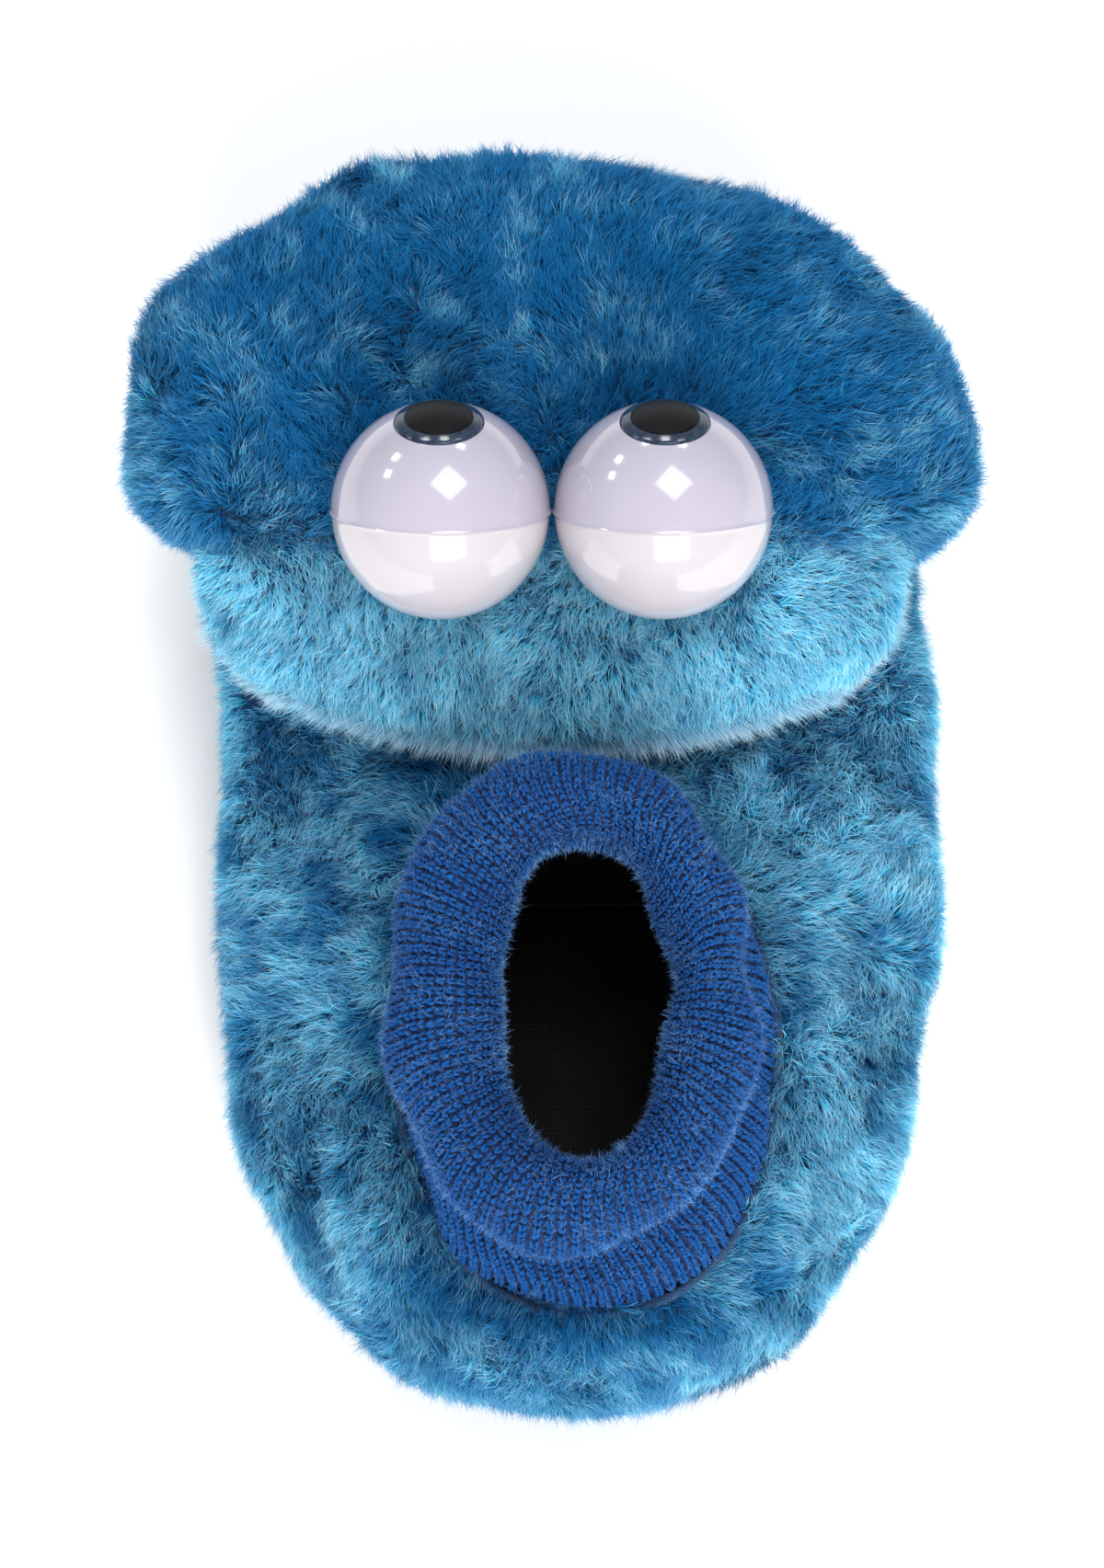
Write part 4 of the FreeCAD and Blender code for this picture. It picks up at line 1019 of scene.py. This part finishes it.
PUPIL_ANGLE = math.asin(6.6 / EYE_RADIUS)
IRIS_ANGLE = math.asin(8.6 / EYE_RADIUS)
IRIS_START = PUPIL_ANGLE - 0.02
HALF = math.pi / 2.0
EDGE = 0.01
iris_lens = lens(EYE_RADIUS, 0.30, IRIS_ANGLE)
pupil_lens = lens(EYE_RADIUS, 0.55, PUPIL_ANGLE)

# Each part: name, shape, polar angles from and to, rings, tilt, material, slot, CAD node.
EYE_PARTS = [
    ("eye_front", ridge, EDGE, HALF, 90, POLE_TILT, eye_front, "eye_front_plastic", "eye_shell_front"),
    ("eye_back", ridge, HALF, math.pi - EDGE, 90, POLE_TILT, eye_back, "eye_back_plastic", "eye_shell_back"),
    ("eye_iris", iris_lens, IRIS_START, IRIS_ANGLE, 12, GAZE_TILT, iris_slate, "iris_plastic", "iris"),
    ("eye_pupil", pupil_lens, EDGE, PUPIL_ANGLE, 40, GAZE_TILT, pupil_gloss, "pupil_plastic", "pupil"),
]
for word, centre in zip(("left", "right"), EYE_CENTRES):
    for label, shape, start, stop, rings, tilt, material, slot, node in EYE_PARTS:
        name = f"{label}_{word}"
        local = cap(shape, start, stop, rings, 128)
        points = local @ aim(tilt) + centre
        mesh = skin_mesh(name, points[::-1], stop > math.pi - 0.1, start < 0.05)
        add_piece(name, mesh, material, "head", (f"{node}_{word}",))

# ------------------------------------------------------------------ the knit cuff

CUFF_RINGS = [
    (50.5, 0.10, 36.0, -110.0, -9.0, 3.0),
    (61.0, 0.10, 35.8, -110.0, -9.2, 3.0),
    (70.0, 0.08, 34.0, -107.5, -10.5, 2.6),
    (79.0, 0.05, 31.2, -101.8, -12.2, 1.4),
    (86.0, 0.03, 30.8, -100.0, -12.6, 0.4),
    (93.0, 0.01, 32.4, -102.2, -11.6, -0.4),
    (101.0, 0.0, 33.2, -103.2, -11.2, -0.7),
    (107.5, 0.0, 31.2, -101.5, -13.2, -0.7),
    (111.5, 0.0, 26.5, -96.5, -18.5, -0.6),
    (111.5, 0.0, 21.0, -92.0, -23.5, 1.0),
    (106.0, 0.0, 16.8, -88.2, -27.0, 2.0),
    (95.0, 0.02, 17.6, -89.0, -27.0, 2.2),
    (80.0, 0.05, 23.0, -95.0, -21.0, 2.6),
    (64.0, 0.10, 29.0, -103.0, -15.5, 3.0),
    (50.0, 0.10, 31.2, -105.5, -13.6, 3.0),
]
WALES = 104
COURSE = 1.35


def cuff_surface(t_rows, angles):
    t = between_rows(CUFF_RINGS, t_rows)
    height, tilt, half, back, front, lean = [t[:, [k]] for k in range(6)]
    x, y = egg(angles, half, back, front, CUFF_WAIST, CUFF_FULL)
    return np.stack([x + FOOT_CENTRE + lean, y, height - tilt * (y - TILT_CENTRE)], -1)


def even_cuff(columns, spacing):
    """The cuff's surface with courses at even spacing along it."""
    dense = cuff_surface(600, turns(columns * 8)[None, :])
    gaps = np.linalg.norm(dense - np.roll(dense, 1, axis=1), axis=-1)
    along = np.cumsum(gaps, axis=1) - gaps[:, :1]
    girth = along[:, -1:] + gaps[:, :1]
    wanted = np.arange(columns) / columns
    columns_out = []
    for row, ring, total in zip(along, dense, girth[:, 0]):
        closed = np.append(row, total)
        ring = np.vstack([ring, ring[:1]])
        at = wanted * total
        columns_out.append(np.stack([np.interp(at, closed, ring[:, k]) for k in range(3)], -1))
    even = np.array(columns_out)
    step = np.linalg.norm(np.diff(even, axis=0), axis=-1).mean(axis=1)
    path = np.concatenate([[0.0], np.cumsum(step)])
    rows = int(path[-1] / spacing) + 1
    at = np.linspace(0.0, path[-1], rows)
    k = np.clip(np.searchsorted(path, at) - 1, 0, len(path) - 2)
    f = ((at - path[k]) / (path[k + 1] - path[k]))[:, None, None]
    return even[k] * (1 - f) + even[k + 1] * f


cuff_noise = Noise(7, 30.0)
cuff_grid = even_cuff(WALES * 2, COURSE)
cuff_normals = grid_normals(cuff_grid)
cuff_grid = cuff_grid + cuff_normals * (cuff_noise(cuff_grid) * 0.7)[..., None]
cuff_normals = grid_normals(cuff_grid)
rows = len(cuff_grid)
backing = cuff_grid - cuff_normals * 0.75
add_skin("cuff_backing", backing, knit_backing, "slipper", ("ankle_cuff",))


def stitch_legs(first_row, last_row):
    """The two leaning legs of every knit stitch, as small spindles of yarn."""
    row = np.arange(first_row, last_row)
    wale = np.arange(WALES)
    r, w = [g.ravel() for g in np.meshgrid(row, wale, indexing="ij")]
    local = np.random.default_rng(77)
    columns = WALES * 2
    legs = []
    for side in (-1, 1):
        centre = (2 * w) % columns
        beside = (2 * w + side) % columns
        below = np.clip(r - 1, 0, rows - 1)
        above = np.clip(r + 1, 0, rows - 1)
        base = cuff_grid[below, centre] * 0.55 + cuff_grid[r, centre] * 0.45
        top = cuff_grid[above, centre] * 0.55 + cuff_grid[r, centre] * 0.45
        across = cuff_grid[r, beside] - cuff_grid[r, centre]
        normal = cuff_normals[r, centre]
        start = base + across * 0.10 + normal * 0.10
        stop = top + across * 0.62 - normal * 0.20
        jitter = local.normal(size=(len(r), 3)) * 0.10
        legs.append((start + jitter, stop + jitter, normal, across))
    start, stop, normal, across = [np.concatenate(g) for g in zip(*legs)]
    axis = unit(stop - start)
    u = unit(np.cross(axis, normal))
    v = np.cross(u, axis)
    wide = np.linalg.norm(across, axis=-1, keepdims=True) * 0.36
    sides = 6
    columns_out = [start]
    for share, size in ((0.25, 0.85), (0.72, 0.95)):
        middle = start + (stop - start) * share + normal * 0.20
        for k in range(sides):
            angle = 2.0 * math.pi * k / sides
            ring = u * math.cos(angle) * wide + v * math.sin(angle) * wide * 0.9
            columns_out.append(middle + ring * size)
    columns_out.append(stop)
    points = np.stack(columns_out, axis=1)
    count = len(points)
    each = points.shape[1]
    base = (np.arange(count) * each)[:, None]
    quads, tris = [], []
    for k in range(sides):
        after = (k + 1) % sides
        tris.append(base + [0, 1 + after, 1 + k])
        quads.append(base + [1 + k, 1 + after, 1 + sides + after, 1 + sides + k])
        tris.append(base + [1 + sides + k, 1 + sides + after, 1 + 2 * sides])
    uv = np.zeros((count, each, 2))
    uv[..., 0] = (np.concatenate([w, w])[:, None] + 0.5) / WALES
    uv[..., 1] = (np.concatenate([r, r])[:, None] + 0.5) / rows
    uv += np.random.default_rng(78).uniform(-0.003, 0.003, uv.shape)
    uv = np.clip(uv.reshape(-1, 2), 0, 1)
    return points.reshape(-1, 3), np.concatenate(quads), np.concatenate(tris), uv


middle_row = rows // 2
for name, low, high in (
    ("cuff_knit_outside", 1, middle_row),
    ("cuff_knit_inside", middle_row, rows - 1),
):
    mesh = make_mesh(name, *stitch_legs(low, high))
    add_piece(name, mesh, knit_yarn, "slipper")

fuzz_rng = np.random.default_rng(31)
FUZZ_DENSITY = 2.2
FUZZ_PILE = dict(length=2.1, lay=1.0, width=0.06, tuft=2, pull=0.0)


def crest_weight(points):
    """Fuzz is thickest on the rolled rim."""
    return 0.35 + 0.65 * smoothstep(88.0, 104.0, points[..., 2])


def fuzz_flow(points, normals):
    return fuzz_rng.normal(size=points.shape)


roots, normals = scatter(cuff_grid, cuff_normals, FUZZ_DENSITY, fuzz_rng, crest_weight)
# Painted sheen: fuzz on the outer, side- and downward-facing part of the rolled crest is made much paler,
# standing for grazing light there.
painted_crest_sheen = smoothstep(88.0, 106.0, roots[:, 2]) * smoothstep(0.5, -0.1, normals[:, 2])
fuzz = grow(roots, normals, fuzz_flow, fuzz_rng, 0.30, **FUZZ_PILE)
fuzz = (*fuzz[:3], np.clip(fuzz[3] + 0.6 * painted_crest_sheen, 0.02, 0.98))
add_fur("cuff_fuzz", fuzz, knit_fuzz, "slipper")

# ------------------------------------------------------------------ shapes made of rings


def slab(outline, low, high, crown, round_edge=0.7):
    """A closed pad over an outline: flat below, rounded at the edge and crowned on top."""
    centre = outline.mean(axis=0)
    reach = np.linalg.norm(outline - centre, axis=1).mean()
    edge = 1.0 - round_edge / reach
    steps = [
        (0.02, low),
        (0.5, low),
        (edge, low),
        (1.0, low + round_edge),
        (1.0, high - round_edge),
        (edge, high),
    ]
    for share in (0.94, 0.86, 0.76, 0.64, 0.5, 0.35, 0.2, 0.02):
        steps.append((share, high + crown * (1.0 - share**2)))
    rings = []
    for share, height in steps:
        flat = centre + (outline - centre) * share
        rings.append(np.column_stack([flat, np.full(len(flat), height)]))
    return np.array(rings)


def revolve(profile, centre):
    """A surface turned round an upright axis, from (radius, height) pairs going up its outside."""
    turn = turns(96)[None, :]
    radius, height = np.array(profile, float).T[:, :, None]
    x = centre[0] + radius * np.cos(turn)
    y = centre[1] + radius * np.sin(turn)
    return np.stack([x, y, height + 0.0 * turn], -1)


def sweep(path, width, height):
    """A rounded strip along a path, width across and height upward."""
    tangent = unit(np.gradient(path, axis=0))
    side = unit(np.cross(np.array([0.0, 0.0, 1.0]), tangent))
    above = np.cross(tangent, side)
    turn = turns(12)[None, :, None]
    across = 0.5 * width * np.cos(turn) * side[:, None, :]
    return path[:, None, :] + across + 0.5 * height * np.sin(turn) * above[:, None, :]


def bellows_profile(radius, low, high, folds, depth, wall):
    """A hollow bellows with rounded folds: up the outside, then down the inside."""
    t = np.linspace(0.0, 1.0, folds * 12 + 1)
    wave = 0.5 * (1.0 - np.cos(2.0 * math.pi * folds * t))
    outer = np.column_stack([radius - depth + depth * wave, low + (high - low) * t])
    inner = outer[::-1] - np.array([wall, 0.0])
    inner[:, 1] = np.clip(inner[:, 1], low + wall, high - wall)
    ends = [[0.02, low]], outer, [[0.02, high], [0.02, high - wall]], inner, [[0.02, low + wall]]
    return np.concatenate(ends)


def add_blended(name, mesh, material, slot, body, foot, low, high, stands_for=()):
    """Puts a piece in the scene with its material and bakes its transform; slot, body, foot, low and high
    are not used.
    """
    piece = add_piece(name, mesh, material, None, stands_for)
    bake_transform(piece)


# ------------------------------------------------------------------ inside of the slipper

CAVITY_STATIONS = [
    (18.2, 0.0, 40.0, -109.0, 24.0),
    (24.0, 0.0, 40.0, -109.0, 24.0),
    (31.0, 0.0, 40.0, -109.0, 22.0),
    (37.0, 0.02, 39.5, -109.0, 12.0),
    (43.0, 0.05, 37.0, -108.5, -2.0),
    (46.5, 0.08, 33.5, -107.3, -9.8),
    (49.5, 0.10, 32.0, -106.3, -12.6),
]


def cavity_surface(rows, grow_by):
    t = between_rows(CAVITY_STATIONS, rows)
    height, tilt, half, back, front = [t[:, [k]] for k in range(5)]
    x, y = egg(theta, half + grow_by, back - grow_by, front + grow_by, CAVITY_WAIST, CAVITY_FULL)
    return np.stack([x + FOOT_CENTRE, y, height - tilt * (y - TILT_CENTRE)], -1)


wall_outside = cavity_surface(40, 1.0)
wall_inside = cavity_surface(40, 0.1)[::-1]
lining_noise = Noise(8, 26.0)
wall_inside = wall_inside + 0.3 * lining_noise(wall_inside)[..., None] * unit(
    wall_inside - np.array([FOOT_CENTRE, CAVITY_WAIST, 35.0])
)
lining = np.concatenate([wall_outside, wall_inside, wall_outside[:1]])
add_skin("lining_cloth", lining, lining_knit, "slipper", ("upper_lining",))

tape_angle = np.linspace(math.pi * 0.84, math.pi * 1.28, 90)[:, None]
tape_x, tape_y = egg(tape_angle, 39.4, -108.4, 23.4, CAVITY_WAIST, CAVITY_FULL)
tape_path = np.column_stack([tape_x + FOOT_CENTRE, tape_y, np.full(90, 25.5)])
tape = sweep(tape_path, 0.7, 7.6)
add_skin("seam_tape", tape, teal_tape, "slipper", ("lining_seam_tape",), True)


def insole_outline(back, front, amount):
    shape = 40.0 - amount, -109.0 + amount, 24.0 - amount, CAVITY_WAIST, CAVITY_FULL
    x, y = egg(theta[0], *shape)
    return np.column_stack([x + FOOT_CENTRE, np.clip(y, back, front)])


insoles = [
    ("insole_pad_front", insole_outline(-20.5, 40.0, 0.6), "slipper", "footbed_front"),
    ("insole_pad_heel", insole_outline(-140.0, -21.2, 2.0), "treadle", "footbed_heel"),
]
for name, outline, body, node in insoles:
    pad = slab(outline, 18.1, 20.6, 1.2)
    pad[..., 2] += 0.15 * lining_noise(pad) * (pad[..., 2] > 20.0)
    piece = add_skin(name, pad, insole_cloth, body, (node,), True)

welt_x, welt_y = egg(theta[0], 37.2, -111.2, -7.8, CUFF_WAIST, CUFF_FULL)
welt_z = 58.6 - 0.10 * (welt_y - TILT_CENTRE)
welt_path = np.column_stack([welt_x + FOOT_CENTRE + CUFF_LEAN, welt_y, welt_z])
welt_path = np.concatenate([welt_path, welt_path[:1]])
welt = sweep(welt_path, 1.8, 2.4)
add_skin("topline_welt", welt, binding_cloth, "slipper", ("topline_binding",))

# ------------------------------------------------------------------ the mouth

lower_table = between_rows(BODY_STATIONS, 90)
lip_row = lower_table[np.argmin(np.abs(lower_table[:, 0] - 38.0))]
lip_inset = SKIN_INSET + 0.2
lip_half, lip_back, lip_front = lip_row[2:5] + np.array([-lip_inset, lip_inset, -lip_inset])
lip_x, lip_y = egg(theta[0], lip_half, lip_back, lip_front, BODY_WAIST, BODY_FULL, lip_row[6])
lip_x = lip_x * foot_spread(lip_y) + foot_drift(lip_y)
upper_x, upper_y = egg(theta[0], 72.0, 48.0, 111.0, FRONT_WAIST, 2.35)
upper_x = upper_x + head_drift(upper_y)
felt_noise = Noise(9, 22.0)
felts = [
    ("mouth_felt_lower", lip_x, lip_y, 38.5, "slipper", "mouth_lining_lower"),
    ("mouth_felt_upper", upper_x, upper_y, 43.5, "head", "mouth_lining_upper"),
]
for name, x, y, low, body, node in felts:
    in_mouth = x[y > MOUTH_CORNER]
    outline = np.column_stack([x.clip(in_mouth.min(), in_mouth.max()), y.clip(MOUTH_CORNER)])
    felt = slab(outline, low, low + 1.4, 0.0, 0.4)
    felt[..., 2] += 0.12 * felt_noise(felt)
    add_skin(name, felt, red_felt, body, (node,), True)

tongue_x, tongue_y = egg(theta[0], 20.6, 66.4, 99.6, 82.0, 2.2)
tongue = slab(np.column_stack([tongue_x, tongue_y]), 40.0, 41.9, 0.8, 0.7)
crease = np.exp(-((tongue[..., 0] / 1.3) ** 2)) * smoothstep(41.0, 42.0, tongue[..., 2])
tongue[..., 2] -= 0.9 * crease * smoothstep(98.0, 88.0, tongue[..., 1])
piece = add_skin("tongue_pad", tongue, pink_felt, "slipper", ("tongue",), True)

GUSSET_HALF = 57.6
gusset_low, gusset_high = 38.5, 45.0
rise = np.linspace(0.0, 1.0, 15)[:, None]
run = np.linspace(-GUSSET_HALF, GUSSET_HALF, 180)[None, :]
fold = 0.42 * np.sin(2.0 * math.pi * 2.0 * rise) + 0.12 * np.sin(run * 1.1 + 4.0 * rise)
height = gusset_low + (gusset_high - gusset_low) * rise + 0.0 * run
front_face = np.stack([run + 0.0 * rise, 62.9 + fold, height], -1)
back_face = front_face - np.array([0.0, 0.45, 0.0])
folded = np.concatenate([back_face[:, ::-1], front_face], axis=1)
mesh = skin_mesh("mouth_corner_cloth", folded)
foot = (0.0, 62.75)
nodes = ("mouth_gusset",)
add_blended("mouth_corner_cloth", mesh, red_felt, "red_felt", "head", foot, gusset_low, gusset_high, nodes)

# ------------------------------------------------------------------ cloth round the neck hinge

# The curtain's line on plan, from left to right round the back, and in NECK_HINGE a centre and two heights
# that add_blended is given but does not use.
NECK_PATH = [
    (-66.0, 44.0), (-63.5, 32.0), (-58.0, 21.0), (-46.0, 14.5), (-24.0, 12.5),
    (0.0, 12.0),
    (24.0, 12.5), (46.0, 14.5), (58.0, 21.0), (63.5, 32.0), (66.0, 44.0),
]
NECK_HINGE = (0.0, 22.0), 52.0, 62.0
NECK_COLUMNS = 160
neck_line = between_rows(NECK_PATH, NECK_COLUMNS)
neck_out = unit(np.gradient(neck_line, axis=0)[:, ::-1] * np.array([1.0, -1.0]))
neck_foot = np.interp(neck_line[:, 1], [12.0, 22.0, 44.0], [48.0, 44.0, 35.5])
neck_top = under_back(*neck_line.T) + 2.0
neck_top = np.where(neck_line[:, 1] > 36.0, 46.0, neck_top)
rise = np.linspace(0.0, 1.0, 17)[:, None]
around = np.arange(NECK_COLUMNS)[None, :]
gather = 0.8 * np.sin(3.0 * math.pi * rise) + 0.35 * np.sin(around * 0.9) * np.sin(math.pi * rise)
sheets = []
for gap in (0.0, 0.6):
    across = (gather - gap)[..., None] * neck_out[None]
    level = neck_foot[None] * (1.0 - rise) + neck_top[None] * rise
    sheets.append(np.dstack([neck_line[None] + across, level[..., None]]))
neck_grid = np.concatenate([sheets[0], sheets[1][:, ::-1]], axis=1)
mesh = skin_mesh("neck_cloth", neck_grid)
add_blended("neck_cloth", mesh, neck_cloth, "blue_plush", "head", *NECK_HINGE)


def neck_weight(points):
    """The curtain is open in front, where the head meets the jaw."""
    return np.where((points[..., 1] > 38.0) & (np.abs(points[..., 0]) < 62.0), 0.0, 1.0)


def neck_flow(points, normals):
    down = np.array([0.0, 0.0, -1.0]) + 0.0 * points
    return down + 0.4 * vector_noise(tuft_noise, points)


neck_normals = grid_normals(sheets[0], wrap=False)
# The neck plush uses the rear lobe's tone, painted light included.
neck_strands = plush(sheets[0], neck_normals, neck_weight, neck_flow, rng, back_tone_with_painted_light)
mesh = strand_mesh("neck_plush", *neck_strands)
add_blended("neck_plush", mesh, plush_fibre, "blue_plush", "head", *NECK_HINGE)

# ------------------------------------------------------------------ bellows and pump spring

MOUTH_AIR = (0.0, 46.0), 20.5, 45.0
HEEL_AIR = (4.0, -78.0), 6.0, 15.5
SPRING_RADIUS = 11.0
SPRING_TURNS = 3.0

mouth_air = revolve(bellows_profile(13.0, *MOUTH_AIR[1:], 5, 2.6, 0.9), MOUTH_AIR[0])
heel_air = revolve(bellows_profile(20.0, *HEEL_AIR[1:], 2, 3.0, 1.0), HEEL_AIR[0])
wind = np.linspace(0.0, SPRING_TURNS * 2.0 * math.pi, 150)
coil_x = HEEL_AIR[0][0] + SPRING_RADIUS * np.cos(wind)
coil_y = HEEL_AIR[0][1] + SPRING_RADIUS * np.sin(wind)
coil = sweep(np.column_stack([coil_x, coil_y, 7.9 + 5.7 * wind / wind[-1]]), 1.2, 1.2)
for name, grid, material, slot, body, place, node in (
    ("mouth_air_bellows", mouth_air, soft_rubber, "bellows_rubber", "head", MOUTH_AIR, "mouth_bellows"),
    ("heel_air_bellows", heel_air, soft_rubber, "bellows_rubber", "treadle", HEEL_AIR, "pump_bellows"),
    ("heel_spring", coil, steel, "steel", "treadle", HEEL_AIR, "pump_spring"),
):
    add_blended(name, skin_mesh(name, grid, True, True), material, slot, body, *place, (node,))

# ------------------------------------------------------------------ floor, light, camera


def point_at(obj, target):
    obj.rotation_mode = "QUATERNION"
    obj.rotation_quaternion = (target - obj.location).to_track_quat("-Z", "Y")


floor_material = mottled(
    "pale_floor", [(0.3, (0.93, 0.93, 0.93)), (0.7, (0.95, 0.95, 0.95))], 3.0, Roughness=0.9
)
floor_mesh = bpy.data.meshes.new("floor")
floor_mesh.from_pydata([(-4, -4, 0), (4, -4, 0), (4, 4, 0), (-4, 4, 0)], [], [(0, 1, 2, 3)])
floor_mesh.materials.append(floor_material)
floor = add_object("floor", floor_mesh)
floor.location.z = -0.0005

world = bpy.data.worlds.new("studio")
world.use_nodes = True
sky = world.node_tree.nodes["Background"]
sky.inputs["Color"].default_value = (0.96, 0.98, 1.0, 1.0)
sky.inputs["Strength"].default_value = 0.55
bpy.context.scene.world = world

# The small windows are there for the row of highlights on the eyes.
WINDOW_SIZE = 0.11
WHITE = (1.0, 1.0, 1.0)
LAMPS = [
    ("heel_softbox", (0.25, -1.55, 1.15), 1.10, 42.0, (1.0, 0.99, 0.98)),
    ("overhead_softbox", (0.30, 0.35, 1.90), 0.90, 14.0, (0.97, 0.98, 1.0)),
    ("left_window", (-0.60, 0.62, 0.56), WINDOW_SIZE, 0.7, WHITE),
    ("left_window_low", (-0.74, 0.40, 0.60), WINDOW_SIZE, 0.6, WHITE),
    ("middle_window", (-0.22, 0.84, 0.60), WINDOW_SIZE, 0.7, WHITE),
    ("centre_window", (0.04, 0.88, 0.62), WINDOW_SIZE, 0.7, WHITE),
    ("right_window", (0.28, 0.82, 0.66), WINDOW_SIZE, 0.7, WHITE),
]
target = Vector((0.0, -0.0028, 0.05))
for name, place, size, power, colour in LAMPS:
    data = bpy.data.lights.new(name, "AREA")
    data.shape = "SQUARE"
    data.size = size
    data.energy = power
    data.color = colour
    lamp = add_object(name, data)
    lamp.location = place
    point_at(lamp, target)

ELEVATION = math.radians(75.0)
DISTANCE = 0.75
HALF_VIEW = 0.1579
camera_data = bpy.data.cameras.new("camera")
camera_data.sensor_fit = "VERTICAL"
camera_data.angle_y = 2.0 * math.atan(HALF_VIEW / DISTANCE)
camera = add_object("camera", camera_data)
camera.location = target + DISTANCE * Vector((0.0, -math.cos(ELEVATION), math.sin(ELEVATION)))
point_at(camera, target)
bpy.context.scene.camera = camera
bpy.context.scene.view_settings.view_transform = "Standard"
